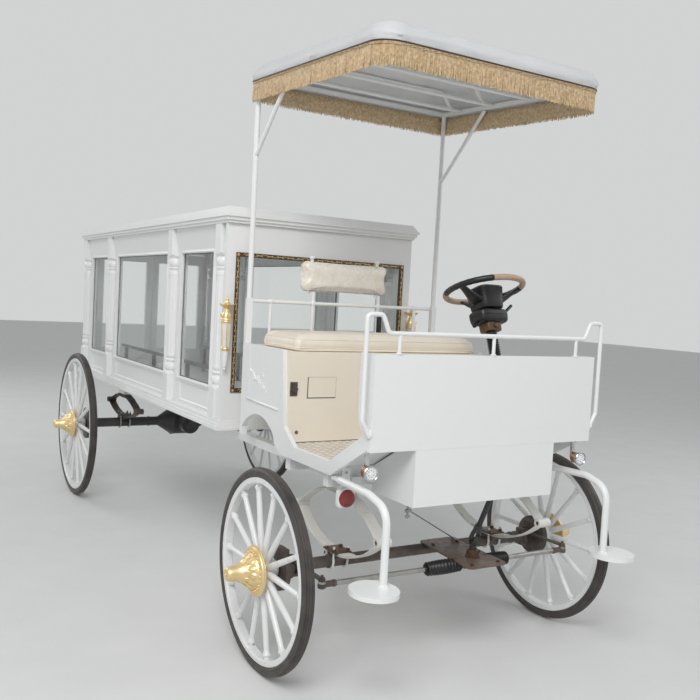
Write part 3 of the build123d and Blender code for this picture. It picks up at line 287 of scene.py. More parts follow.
class Shape:
    """Collects vertices and faces of one piece."""

    def __init__(self):
        self.verts = []
        self.faces = []

    def add(self, verts, faces):
        n = len(self.verts)
        self.verts.extend([tuple(v) for v in verts])
        self.faces.extend([tuple(i + n for i in f) for f in faces])

    def lathe(self, profile, origin, axis, segs=64, lobes=0, depth=0.0, span=None):
        """Turns a profile about an axis. profile: radius and place along the axis by turns, in millimetres.
        lobes and depth scallop the rows whose index is in span."""
        axis = Vector(axis).normalized()
        side = axis.orthogonal().normalized()
        other = axis.cross(side)
        rows = mm(*profile)
        verts = []
        for k, (r, t) in enumerate(rows):
            for i in range(segs):
                a = TAU * i / segs
                scallop = depth * (abs(math.cos(lobes * a / 2)) - 0.6) if lobes and span[0] <= k <= span[1] else 0.0
                verts.append(Vector(origin) + axis * t + (side * math.cos(a) + other * math.sin(a)) * (r + scallop))
        caps = [cap for cap, row in zip(ends(len(rows), segs), (rows[0], rows[-1])) if row[0] > 1e-6]
        self.add(verts, grid(len(rows), segs) + caps)

    def tube(self, points, radius, segs=10, closed=False):
        """Round tube along points. radius is a number or a list."""
        pts = [Vector(p) for p in points]
        n = len(pts)
        radii = per_point(radius, n)
        verts, side = [], None
        for i, p in enumerate(pts):
            a = pts[i - 1] if (i or closed) else p
            b = pts[(i + 1) % n] if (i < n - 1 or closed) else p
            t = (b - a).normalized()
            if side is None:
                side = t.orthogonal().normalized()
            side = (side - t * side.dot(t)).normalized()
            verts += [p + d * radii[i] for d in around(segs, side, t.cross(side))]
        self.add(verts, grid(n, segs, closed) + ([] if closed else ends(n, segs)))

    def block(self, lo, hi):
        (x0, y0, z0), (x1, y1, z1) = lo, hi
        self.add([(x0, y0, z0), (x1, y0, z0), (x1, y1, z0), (x0, y1, z0),
                  (x0, y0, z1), (x1, y0, z1), (x1, y1, z1), (x0, y1, z1)],
                 [(3, 2, 1, 0), (4, 5, 6, 7), (0, 1, 5, 4), (1, 2, 6, 5), (2, 3, 7, 6), (3, 0, 4, 7)])

    def blob(self, centre, radii, rings, segs):
        """Ellipsoid bead. radii is a number or three."""
        rx, ry, rz = radii if isinstance(radii, tuple) else (radii, radii, radii)
        verts = [Vector((0, 0, rz))]
        for i in range(1, rings):
            a = math.pi * i / rings
            for k in range(segs):
                g = TAU * k / segs
                verts.append(Vector((rx * math.sin(a) * math.cos(g), ry * math.sin(a) * math.sin(g),
                    rz * math.cos(a))))
        verts.append(Vector((0, 0, -rz)))
        last = len(verts) - 1
        faces = [(0, 1 + k, 1 + (k + 1) % segs) for k in range(segs)]
        for i in range(rings - 2):
            for k in range(segs):
                a, b = 1 + i * segs + k, 1 + i * segs + (k + 1) % segs
                faces.append((a, a + segs, b + segs, b))
        faces += [(last, last - segs + (k + 1) % segs, last - segs + k) for k in range(segs)]
        self.add([Vector(centre) + v for v in verts], faces)

    def make(self, name, material, smooth=35, body="carriage", slot=None, bevel=None, replaces=None):
        """The piece as an object that rides on body. smooth: degrees from which an edge stays sharp."""
        me = bpy.data.meshes.new(name)
        me.from_pydata(self.verts, [], self.faces)
        bm = bmesh.new()
        bm.from_mesh(me)
        bmesh.ops.recalc_face_normals(bm, faces=bm.faces)
        bm.to_mesh(me)
        bm.free()
        ob = add_to_scene(name, me)
        me.materials.append(material)
        if bevel:
            mod = ob.modifiers.new("bevel", "BEVEL")
            mod.width = bevel
            mod.segments = 2
            mod.limit_method = "ANGLE"
            mod.angle_limit = math.radians(40)
        if smooth:
            me.shade_smooth()
            me.set_sharp_from_angle(angle=math.radians(smooth))
        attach(ob, body)
        if replaces:
            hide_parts(replaces)
        return ob


def smooth_path(points, count):
    """Catmull-Rom curve through points."""
    pts = [Vector(p) for p in points]
    pts = [pts[0] * 2 - pts[1], *pts, pts[-1] * 2 - pts[-2]]
    out = []
    for p0, p1, p2, p3 in zip(pts, pts[1:], pts[2:], pts[3:]):
        for k in range(count):
            t = k / count
            out.append(0.5 * ((2 * p1) + (p2 - p0) * t + (2 * p0 - 5 * p1 + 4 * p2 - p3) * t * t
                              + (3 * p1 - p0 - 3 * p2 + p3) * t ** 3))
    return out + [pts[-2]]


def beam(shape, points, widths, heights, across, power=5.0, segs=20):
    """Bar of rounded rectangular section along points, its width kept along across."""
    pts = [Vector(p) for p in points]
    n = len(pts)
    verts = []
    for i, (p, wide, high) in enumerate(zip(pts, per_point(widths, n), per_point(heights, n))):
        t = (pts[min(i + 1, n - 1)] - pts[max(i - 1, 0)]).normalized()
        side = Vector(across)
        side = (side - t * side.dot(t)).normalized()
        up = side.cross(t)
        for k in range(segs):
            a = TAU * (k + 0.5) / segs
            ca, sa = math.cos(a), math.sin(a)
            verts.append(p + side * math.copysign(abs(ca) ** (2 / power), ca) * wide / 2
                         + up * math.copysign(abs(sa) ** (2 / power), sa) * high / 2)
    shape.add(verts, grid(n, segs) + ends(n, segs))


def bolt(shape, foot, axis, size=8, height=6):
    """Hexagon head on a washer, size and height in millimetres."""
    shape.lathe((0, 0, size * 0.95, 0, size * 0.95, height * 0.2, size * 0.7, height * 0.25), foot, axis, 20)
    shape.lathe((size * 0.72, height * 0.2, size * 0.72, height * 0.85, size * 0.6, height, 0, height), foot, axis, 6)


def leaf(shape, foot, tip, en, width, rise, rows):
    """Pointed leaf lying on a surface whose normal is en, crowned along its midrib."""
    along = tip - foot
    side = along.cross(en).normalized()
    verts, faces = [], []
    for k in range(rows + 1):
        t = k / rows
        w = width * math.sin(math.pi * min(0.02 + 0.96 * t, 1.0)) ** 0.7 * (1 - 0.35 * t)
        p = foot + along * t
        bump = rise * math.sin(math.pi * min(0.05 + 0.9 * t, 1.0))
        verts += [p + side * w * share + en * lift for share, lift in ((-1, -0.0006), (-0.5, bump * 0.75),
            (0, bump * 0.45), (0.5, bump * 0.75), (1, -0.0006))]
        if k:
            faces += [(a, a + 1, a + 6, a + 5) for a in range(k * 5 - 5, k * 5 - 1)]
    shape.add(verts, faces)


def moulding(shape, centre, eu, ev, en, hu, hv, profile):
    """Mitred frame round a rectangle. profile: offset outward and height along en by turns, in millimetres."""
    centre, eu, ev, en = Vector(centre), Vector(eu), Vector(ev), Vector(en)
    rows = mm(*profile)
    verts = [centre + eu * su * (hu + o) + ev * sv * (hv + o) + en * h
             for o, h in rows for su, sv in ((1, 1), (-1, 1), (-1, -1), (1, -1))]
    shape.add(verts, grid(len(rows), 4, closed=True))


# Canopy: one crowned vinyl sheet over its bows, piping and bullion fringe
CANOPY_REAR, CANOPY_FRONT, CANOPY_HALF = AXLE - 0.783, AXLE + 0.391, 0.585
CANOPY_LENGTH = CANOPY_FRONT - CANOPY_REAR
CANOPY_MATRIX = (Matrix.Translation(((CANOPY_FRONT + CANOPY_REAR) / 2, 0, 2.552))
                 @ Matrix.Rotation(math.atan2(0.058, CANOPY_LENGTH), 4, "Y"))
BOWS = [share * CANOPY_LENGTH for share in (-0.34, -0.115, 0.115, 0.34)]


def on_canopy(x, y, z):
    return CANOPY_MATRIX @ Vector((x, y, z))


def canopy_ring(inset, count):
    """Points round the canopy's plan outline, starting at the middle of the front edge."""
    hl, hw = CANOPY_LENGTH / 2 - inset, CANOPY_HALF - inset
    front, rear = max(0.099 - inset, 0.002), max(0.018 - inset, 0.002)
    pts, q = [], count // 12

    def run(a, b, n):
        pts.extend((a[0] + (b[0] - a[0]) * i / n, a[1] + (b[1] - a[1]) * i / n) for i in range(n))

    def corner(sx, sy, r, start):
        for i in range(q):
            g = math.radians(start + 90 * i / q)
            pts.append((sx * (hl - r) + r * math.cos(g), sy * (hw - r) + r * math.sin(g)))

    run((hl, 0), (hl, hw - front), q)
    corner(1, 1, front, 0)
    run((hl - front, hw), (-hl + rear, hw), 2 * q)
    corner(-1, 1, rear, 90)
    run((-hl, hw - rear), (-hl, -hw + rear), 2 * q)
    corner(-1, -1, rear, 180)
    run((-hl + rear, -hw), (hl - front, -hw), 2 * q)
    corner(1, -1, front, 270)
    run((hl, -hw + front), (hl, 0), q)
    return pts


def smooth_min(a, b, k=0.035):
    h = max(0.0, min(1.0, 0.5 + 0.5 * (b - a) / k))
    return b * (1 - h) + a * h - k * h * (1 - h)


def crown_height(u, v):
    """Height of the cloth over the piping: shoulders at the sides, slopes at the ends, sag between the bows."""
    dv, du = CANOPY_HALF - abs(v), CANOPY_LENGTH / 2 - abs(u)
    rim, rise = 0.056, 0.064
    side = rim + rise * (1 - (1 - min(dv / 0.19, 1.0)) ** 2.2)
    end = rim + rise * (1 - (1 - min(du / 0.24, 1.0)) ** 1.9)
    sag = 0.0
    if abs(u) < 0.42:
        near = min(abs(u - bow) for bow in BOWS)
        sag = 0.007 * (1 - math.exp(-(near / 0.05) ** 2)) * min(dv / 0.2, 1.0)
    return smooth_min(side, end) - sag


def canopy_rows(count):
    """Rows of the cloth's points: up the turned down band, then inward over the crown."""
    rows = []
    for w, out in mm(-4, 0, 4, 1.2, 12, 2.2, 20, 2.6, 28, 2.2, 36, 0.4, 43, -3, 49, -7.5):
        row, rise = [], (w + 0.004) / 0.053
        for x, y in canopy_ring(-out, count):
            pull = 0.0110 * noise.noise(Vector((x * 19 + w * 80, y * 19 + w * 80, w * 20)))
            pull *= math.sin(math.pi * (0.08 + 0.84 * rise))
            drop = 0.0060 * noise.noise(Vector((x * 5, y * 5, 7.0))) * rise
            row.append((x + math.copysign(pull, x), y + math.copysign(pull, y), w + drop))
        rows.append(row)
    base, steps = canopy_ring(0.0, count), 26
    for k in range(steps):
        row, share = [], 1 - (k / steps) ** 1.35
        inset = 0.0110 * (1 - min(1.0, k / 6.0)) + 0.0020
        for x, y in base:
            u = x * share - math.copysign(inset, x)
            v = y * share - math.copysign(inset, y)
            ripple = (0.0060 * noise.noise(Vector((x * 5, y * 5, 7.0))) * share ** 3
                      + 0.0060 * noise.noise(Vector((u * 9, v * 9, 4.0)))
                      + 0.0050 * noise.noise(Vector((u * 30, v * 17, 9.0))))
            row.append((u, v, crown_height(u, v) + ripple))
        rows.append(row)
    return rows


def thicken(ob, thickness):
    mod = ob.modifiers.new("thickness", "SOLIDIFY")
    mod.thickness = thickness
    mod.offset = -1


def along_ring(ring, spacing):
    """Evenly spaced places round a ring, each with the direction there."""
    placed, carry = [], 0.0
    for i in range(len(ring)):
        a, b = Vector(ring[i]), Vector(ring[(i + 1) % len(ring)])
        length = (b - a).length
        if length < 1e-9:
            continue
        t = -carry
        while t + spacing <= length:
            t += spacing
            placed.append((a + (b - a) * (t / length), (b - a).normalized()))
        carry = length - t
    return placed


def make_canopy():
    count = 264
    rows = canopy_rows(count)
    verts = [on_canopy(*p) for row in rows for p in row] + [on_canopy(0, 0, crown_height(0, 0))]
    last, top = (len(rows) - 1) * count, len(verts) - 1
    shape = Shape()
    shape.add(verts, grid(len(rows), count) + [(last + i, last + (i + 1) % count, top) for i in range(count)])
    cover = shape.make("canopy_sheet", cloth, 60)
    thicken(cover, 0.0025)
    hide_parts("canopy_cover")

    shape = Shape()
    shape.tube([on_canopy(x, y, 0.0) for x, y in canopy_ring(-0.003, 240)], 0.0030, 8, closed=True)
    piping = shape.make("canopy_piping", bronze, slot="canopy_cloth")

    rnd = random.Random(21)
    shape = Shape()
    for p, along in along_ring(canopy_ring(0.002, 1560), 0.0046):
        out = Vector((along.y, -along.x))
        drop = 0.083 + rnd.uniform(-0.004, 0.004)
        lean = rnd.uniform(-0.004, 0.004)
        push = rnd.uniform(-0.0025, 0.0040)
        r = 0.0021 + rnd.uniform(-0.0004, 0.0006)
        pts = []
        for g in (0, 0.25, 0.5, 0.75, 1):
            q = p + out * (push * g + 0.001 * math.sin(g * 5 + lean * 900)) + along * lean * g * g
            pts.append(on_canopy(q.x, q.y, -0.012 - drop * g))
        shape.tube(pts, [r, r * 1.05, r, r * 1.05, r * 0.9], 4)
    fringe = shape.make("fringe_strands", bullion_painted_glints, 80, replaces="canopy_fringe")

    shape, ring, verts = Shape(), canopy_ring(0.0048, 240), []
    for w in (-0.004, -0.030, -0.060, -0.088):
        for i, (x, y) in enumerate(ring):
            g = 1 + 0.0008 * math.sin(i * 1.9) + 0.0006 * math.sin(i * 0.83)
            hem = 0.003 * math.sin(i * 2.3) if w < -0.08 else 0
            verts.append(on_canopy(x * g, y * g, w + hem))
    shape.add(verts, grid(4, len(ring)))
    back = shape.make("fringe_backing", bullion_painted_glints, 60)
    thicken(back, 0.0016)

    shape = Shape()
    for level, wave, radius in ((-0.0060, 0.0016, 0.0024), (-0.0105, -0.0020, 0.0022)):
        ring = enumerate(canopy_ring(-0.0008, 1200))
        shape.tube([on_canopy(x, y, level + wave * math.sin(TAU * i / 6)) for i, (x, y) in ring], radius, 5,
            closed=True)
    gimp = shape.make("fringe_header", bullion_painted_glints, 80)


make_canopy()


# Wheels: tread and side wall lines on the tyres, gilded hub caps with beads and leaves
AXLES = (("front", FRONT_R, AXLE), ("rear", REAR_R, REAR_X))
WHEELS = [(f"{end}_{name}", radius, x, side) for end, radius, x in AXLES for name, side in SIDES]
WHEEL_MID, TYRE_HALF, RIM_HALF, TYRE_DEPTH = 0.783, 0.024, 0.021, 0.039
CAP_FACE = 0.0303
CAP_PROFILE = (0, 0, 100, 0, 103.5, 1.2, 104.5, 4, 103.5, 7.5, 98.5, 9, 96, 10.5, 95, 13.5, 93, 15, 87, 16, 85, 17.5,
               76, 18.5, 74.5, 21.5, 72.5, 25, 65, 33, 56, 44, 48, 56, 41.5, 68, 36.5, 80, 33.5, 92, 31.8, 106,
               30, 118, 27.5, 127, 23.5, 132, 18, 134.5, 10.5, 135, 9.5, 133.5, 7, 133.5, 6.2, 136, 0, 136.5)


def make_tyre(corner, radius, x, side):
    inner, segs = radius - TYRE_DEPTH, 144
    half = [(inner + r, RIM_HALF + t) for r, t in mm(0.3, 0, 4, 2.2)]
    half += [(inner + r, TYRE_HALF + t) for r, t in mm(7.5, -0.4, 11.5, 0, 12.5, -1.3, 15.5, -1.3, 16.5, 0, 21, -0.2,
                                                       26.5, -1)]
    half += [(radius + r, t) for r, t in mm(-8.5, 21, -5.2, 17.5, -6.4, 16, -6.2, 14.2, -3.2, 13, -2.2, 8.5, -3.6,
        7.2, -3.4, 5.8, -0.9, 4.6, -0.4, 0)]
    rows = half + [(r, -t) for r, t in reversed(half[:-1])]
    shape = Shape()
    shape.add([Vector((x, side * WHEEL_MID + t, radius)) + d * r for r, t in rows for d in around(segs)],
              grid(len(rows), segs, closed=True))
    shape.make(f"tyre_{corner}_tread", rubber, 50, f"{corner}_wheel", replaces=f"tyre_{corner}")


def make_cap(corner, radius, x, side):
    centre, out = Vector((x, side * WHEEL_MID, radius)), Y * side
    face = centre + out * CAP_FACE
    cap, back = Shape(), Shape()
    cap.lathe(CAP_PROFILE, face, out, 96)
    for d, between in zip(around(12), around(12, phase=0.5)):
        slope = (d * 0.8 + out * 0.6).normalized()
        leaf(cap, face + d * 0.0725 + out * 0.0240, face + d * 0.0470 + out * 0.0560, slope, 0.0170, 0.0052, 7)
        leaf(cap, face + between * 0.0560 + out * 0.0430, face + between * 0.0405 + out * 0.0700, slope, 0.0080,
             0.0036, 5)
    for count, r, t, size in ((26, 0.0805, 0.0185, 0.0050), (24, 0.0455, 0.0600, 0.0024)):
        for d in around(count):
            cap.blob(face + d * r + out * t, size, 5, 8)
    cap.make(f"hub_cap_{corner}_turned", gold, 40, f"{corner}_wheel", replaces=f"hub_cap_{corner}")
    back.lathe((50, -30, 58, -28, 60, -22, 60, 22, 57, 29, 50, 30), centre, out)
    for d in around(14, phase=0.5):
        back.lathe((0, -27, 6, -27, 6, -36), centre + d * 0.0535, out, 6)
    back.make(f"hub_band_{corner}", white_wheel, body=f"{corner}_wheel")


for wheel in WHEELS:
    make_tyre(*wheel)
    make_cap(*wheel)


# Soft seats: pillow meshes puffed by a short cloth run, then piped along their seams
def rounded_outline(ha, hb, corner, per_side, pull=0.0):
    """Points round a rounded rectangle whose sides pull in by pull at their middles."""
    def on_corner(k, turn):
        sx, sy = ((1, 1), (-1, 1), (-1, -1), (1, -1))[k % 4]
        g = math.radians(90 * (k % 4) + turn)
        return sx * (ha - corner) + corner * math.cos(g), sy * (hb - corner) + corner * math.sin(g)

    pts = []
    for k, outward in enumerate(((0, 1), (-1, 0), (0, -1), (1, 0))):
        pts += [on_corner(k, 90 * i / 7) for i in range(8)]
        a, b = pts[-1], on_corner(k + 1, 0)
        for i in range(1, per_side):
            t = i / per_side
            dip = pull * 4 * t * (1 - t)
            pts.append((a[0] + (b[0] - a[0]) * t - outward[0] * dip, a[1] + (b[1] - a[1]) * t - outward[1] * dip))
    return pts


def apply_modifiers(ob):
    me = bpy.data.meshes.new_from_object(ob.evaluated_get(bpy.context.evaluated_depsgraph_get()))
    ob.modifiers.clear()
    old, ob.data = ob.data, me
    bpy.data.meshes.remove(old)


def places(ob):
    """The vertices' places as rows of an array."""
    flat = np.empty(len(ob.data.vertices) * 3)
    ob.data.vertices.foreach_get("co", flat)
    return flat.reshape(-1, 3)


def puff(ob, origin, up, cap):
    """A short cloth run under pressure. No vertex moves by more than cap or sinks below the cushion's foot."""
    start, frames, scene = places(ob), 20, bpy.context.scene
    pins = ob.vertex_groups.new(name="pin")
    pins.add([int(i) for i in np.nonzero((start - origin) @ up < 0.006)[0]], 1.0, "REPLACE")
    mod = ob.modifiers.new("puff", "CLOTH")
    s = mod.settings
    s.quality = 4
    s.mass = 0.25
    s.tension_stiffness = s.compression_stiffness = 12
    s.shear_stiffness = 4
    s.bending_stiffness = 0.6
    s.use_pressure = True
    s.uniform_pressure_force = 4.0
    s.effector_weights.gravity = 0.0
    s.vertex_group_mass = "pin"
    mod.collision_settings.use_collision = False
    mod.point_cache.frame_start = 1
    mod.point_cache.frame_end = frames
    for f in range(1, frames + 1):
        scene.frame_set(f)
    apply_modifiers(ob)
    shift = places(ob) - start
    limit = np.minimum(1.0, cap / np.maximum(np.linalg.norm(shift, axis=1), 1e-9))
    moved = start + shift * limit[:, None]
    moved -= np.outer(np.minimum((moved - origin) @ up, 0.0), up)
    ob.data.vertices.foreach_set("co", moved.ravel())
    scene.frame_set(1)


def pillow(name, node, material, origin, axes, size, edge, crown, pull, voxel, cap):
    """Cushion standing on the plane of the first two axes, puffed along the third. size: two half widths,
    thickness and corner radius."""
    (ea, eb, eh), (ha, hb, thick, corner) = axes, size
    ring = rounded_outline(ha, hb, corner, 18, pull)
    rows = [[(a * (1 - inset / ha), b * (1 - inset / hb), h) for a, b in ring] for inset, h in (
        (edge, 0.0), (edge * 0.3, edge * 0.2), (0.0, edge * 0.9), (-0.001, thick * 0.5), (0.0, thick - edge * 1.1),
        (edge * 0.28, thick - edge * 0.35), (edge, thick))]
    rows += [[(a * share, b * share, thick + crown * (1 - share ** 2)) for a, b in ring]
             for share in (0.8, 0.6, 0.4, 0.2)]
    n, last = len(ring), (len(rows) - 1) * len(ring)
    verts = [origin + ea * a + eb * b + eh * h for row in rows for a, b, h in row]
    verts += [origin + eh * (thick + crown), origin]
    faces = grid(len(rows), n)
    for i in range(n):
        faces += [(last + i, last + (i + 1) % n, len(verts) - 2), ((i + 1) % n, i, len(verts) - 1)]
    shape = Shape()
    shape.add(verts, faces)
    ob = shape.make(name, material, smooth=0)
    mod = ob.modifiers.new("even", "REMESH")
    mod.mode = "VOXEL"
    mod.voxel_size = voxel
    apply_modifiers(ob)
    ob.data.materials.clear()
    ob.data.materials.append(material)
    puff(ob, np.array(origin), np.array(eh), cap)
    ob.data.shade_smooth()
    ob.data.update()
    ob.vertex_groups.clear()
    mod = ob.modifiers.new("smooth", "SUBSURF")
    mod.levels = mod.render_levels = 1
    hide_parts(node)
    return ob


def add_welts(name, cushion, origin, axes, ring, levels, radius, material):
    """Piping where the cushion's skin is crossed at each level, all the way round."""
    me, welt, (ea, eb, eh) = cushion.data, Shape(), axes
    tree = BVHTree.FromPolygons([v.co[:] for v in me.vertices], [tuple(p.vertices) for p in me.polygons])
    for h in levels:
        pts = []
        for a, b in ring:
            flat = ea * a + eb * b
            way = flat.normalized()
            hit = tree.ray_cast(origin + eh * h + flat * 1.4, -way)[0]
            if hit is not None:
                pts.append(hit - way * 0.001)
        welt.tube(pts, radius, 7, closed=True)
    welt.make(name, material, 80)


def make_seats():
    foot, axes, size = Vector((AXLE - 0.4915, 0, 1.3006)), (X, Y, Z), (0.1925, 0.526, 0.066, 0.034)
    bench = pillow("seat_bench", "seat_cushion", leather, foot, axes, size, 0.024, 0.008, 0.004, 0.007, 0.012)
    ring = rounded_outline(size[0], size[1], size[3], 40)
    add_welts("seat_bench_piping", bench, foot, axes, ring, (0.054, 0.016), 0.0032, leather)
    foot, axes, size = Vector((AXLE - 0.8158, 0, 1.6555)), (Y, Z, X), (0.257, 0.080, 0.050, 0.030)
    pad = pillow("backrest_pad", "seat_back", film, foot, axes, size, 0.018, 0.006, 0.002, 0.005, 0.010)
    ring = rounded_outline(size[0], size[1], size[3], 24)
    add_welts("backrest_piping", pad, foot, axes, ring, (0.042, 0.008), 0.0028, film)
    knobs, stems, x = Shape(), Shape(), AXLE - 0.7925
    for y in (-0.2, 0.2):
        knobs.lathe((0, -4, 9, -4, 9, 4, 6.5, 6, 7.5, 9, 12.5, 13, 14.5, 18, 12.5, 23.5, 7, 27, 0, 28), (x, y, 1.734),
            Z, 28)
        stems.tube([(x, y, 1.560), (x, y, 1.58)], 0.0088, 16)
    knobs.make("backrest_knobs", white)
    stems.make("backrest_stems", white)


make_seats()


# Glass body: turned and fluted posts, moulded window frames and panels
POSTS = [AXLE - 4.025, AXLE - 3.295, AXLE - 1.912, AXLE - 1.146]
POST_HALF = 0.042
WALL_Y = 0.582 - POST_HALF
FOOT_Z, FOOT_TOP, HEAD_Z, CORNICE_Z = 0.8753, 1.048, 1.746, 1.9117
SILL_Z, WINDOW_TOP = 1.034, 1.766
WINDOW_Z, WINDOW_HALF = (SILL_Z + WINDOW_TOP) / 2, (WINDOW_TOP - SILL_Z) / 2
BAYS = [((a + b) / 2, (b - a) / 2 - POST_HALF) for a, b in zip(POSTS, POSTS[1:])]
BEAD = (-0.8, -3, -0.8, 7.8, 0.6, 10.4, 2.8, 12.6, 5.8, 14.2, 9.2, 14.2, 11.8, 12.8, 12.8, 10.6, 16, 10.4, 18.4, 9.8,
        19.2, 8, 19.2, -1)
OGEE = (-7.5, -6.2, -7, -3, -4, -1, -1, 1.8, 3, 3, 6.2, 2.2, 7.2, 0.4, 7.2, -1)
INNER_BEAD = (-0.6, -2, -0.6, 5, 2, 8, 10, 8, 13, 5, 13, -2)
SEAL = (-4.5, 0, -4, 1.2, -1, 2.6, 0.4, 2.8, 0.4, 0)


def post_rows():
    """Rows of a post: height, turned radius, flute depth."""
    def turned(base, *numbers):
        return [(base + z, r, 0.0) for z, r in mm(*numbers)]

    def cone(z, r0, r1):
        return [(z + 0.016 * k / 6, r0 + (r1 - r0) * k / 6, 0.0) for k in range(7)]

    def ball(z, height, r, swell, reach, count):
        turns = [math.radians(reach * (2 * k / count - 1)) for k in range(count + 1)]
        return [(z + height * math.sin(a), r + swell * math.cos(a), 0.0) for a in turns]

    def flutes(z, curve):
        return [(z + 0.016 * k / 5, 0.0397, 0.0028 * curve(math.pi / 2 * k / 5)) for k in range(6)]

    return (turned(FOOT_Z, 0, 90) + turned(FOOT_TOP, -17, 90) + cone(FOOT_TOP - 0.016, 0.060, 0.038)
            + turned(FOOT_TOP, 1, 34.5, 3, 31.2, 6, 30, 9, 31) + ball(FOOT_TOP + 0.031, 0.0225, 0.030, 0.0125, 78, 8)
            + turned(FOOT_TOP, 57, 30, 60.5, 31) + ball(FOOT_TOP + 0.071, 0.0080, 0.0345, 0.0060, 80, 4)
            + turned(FOOT_TOP, 82.5, 30.5, 86.5, 31, 89.5, 38, 92.5, 39.8, 102, 39.8)
            + flutes(FOOT_TOP + 0.104, math.sin) + flutes(HEAD_Z - 0.140, math.cos)
            + turned(HEAD_Z, -121, 39.7, -113, 39.8, -111.5, 41.2, -106, 42.2, -92, 42.2, -86.5, 41, -83, 34)
            + turned(HEAD_Z, -80, 30.5, -74.5, 31) + ball(HEAD_Z - 0.0665, 0.0058, 0.0350, 0.0060, 80, 4)
            + turned(HEAD_Z, -59, 30) + ball(HEAD_Z - 0.0325, 0.0245, 0.030, 0.0125, 78, 8)
            + turned(HEAD_Z, -5.5, 30, -3, 31, -1, 34) + cone(HEAD_Z, 0.038, 0.060)
            + turned(HEAD_Z, 17, 90) + turned(CORNICE_Z, 0, 90))


def make_posts():
    rows, segs, flutes = post_rows(), 96, 12
    ring = []
    for i, d in enumerate(around(segs, X, Y)):
        square = min(POST_HALF / max(abs(d.x), abs(d.y)), POST_HALF * math.sqrt(2) - 0.0022)
        phase = (i / segs * flutes) % 1.0 - 0.5
        ring.append((d, square, math.exp(-(phase / 0.27) ** 4)))
    shape = Shape()
    for x in POSTS:
        for side in BOTH:
            foot = Vector((x, side * WALL_Y, 0))
            shape.add([foot + Z * z + d * min(r - depth * dip, square) for z, r, depth in rows
                for d, square, dip in ring], grid(len(rows), segs) + ends(len(rows), segs))
    shape.make("turned_posts", white, 38, replaces="body_posts")


def make_mouldings():
    shape, seal = Shape(), Shape()
    for x, half in BAYS:
        for side in BOTH:
            wall = Vector((x, side * WALL_Y, WINDOW_Z))
            moulding(shape, wall, X, Z, Y * side, half - 0.084, WINDOW_HALF, BEAD)
            moulding(shape, wall - Y * side * 0.025, X, Z, -Y * side, half - 0.084, WINDOW_HALF, INNER_BEAD)
            moulding(shape, (x, side * WALL_Y, 0.9515), X, Z, Y * side, half - 0.110, 0.0555, OGEE)
            for way in (side, -side):
                moulding(seal, wall - Y * (side * 0.0125 - way * 0.0025), X, Z, Y * way, half - 0.084, WINDOW_HALF,
                    SEAL)
    shape.make("wall_mouldings", white, 30)
    seal.make("window_seals", grey_seal, 30)


make_posts()
make_mouldings()


# Front window frame with its scrollwork, and the coach lanterns
def make_front_window():
    x, half, z0, z1, strip = AXLE - 1.020, 0.528, 1.025, 1.762, 0.022
    shape, scroll, face, mid = Shape(), Shape(), x + 0.0066, half - strip / 2
    moulding(shape, (x, 0, (z0 + z1) / 2), Y, Z, X, half - strip, (z1 - z0) / 2 - strip,
             (0, -10, 0, 6, 1.2, 8, 3.2, 8, 4.2, 6.2, 17.5, 6.2, 18.5, 8.2, 20.8, 8.2, 22.2, 6.2, 22.2, 0.4))
    shape.make("front_window_moulding", bronze, 30, replaces="front_window_frame")
    levels = (z0 + strip / 2, z1 - strip / 2)
    runs = [((side * mid, z0 + 0.03), (side * mid, z1 - 0.03), 12) for side in BOTH]
    runs += [((-half + 0.04, z), (half - 0.04, z), 16) for z in levels]
    for a, b, count in runs:
        a, b = Vector((face, *a)), Vector((face, *b))
        along, pitch = (b - a).normalized(), (b - a).length / count
        across = X.cross(along)
        for k in range(count):
            flip = 1 if k % 2 else -1
            c = a + along * pitch * (k + 0.5)
            for way in BOTH:
                pts = []
                for t in (i / 14 for i in range(15)):
                    u = way * (pitch * 0.48 * (1 - t) ** 1.3 + 0.0025)
                    v = flip * way * 0.0062 * (1 - 0.55 * t) * math.sin(math.pi * (0.05 + 1.25 * t))
                    pts.append(c + along * u + across * v + X * 0.0004)
                scroll.tube(pts, [0.0011 + 0.0006 * math.sin(math.pi * i / 14) for i in range(15)], 6)
                leaf(scroll, c + along * way * pitch * 0.12,
                     c + along * way * pitch * 0.36 - across * flip * way * 0.0055, X, 0.0032, 0.0016, 4)
            scroll.blob(c + X * 0.0006, (0.0016, 0.0030, 0.0030), 5, 10)
    for side in BOTH:
        for z in levels:
            c = Vector((face, side * mid, z))
            for d in around(6, Y, Z):
                leaf(scroll, c + d * 0.001, c + d * 0.0095, X, 0.0028, 0.0018, 4)
            scroll.blob(c + X * 0.0010, (0.0018, 0.0026, 0.0026), 5, 10)
    scroll.make("front_window_scrolls", gold, 60)


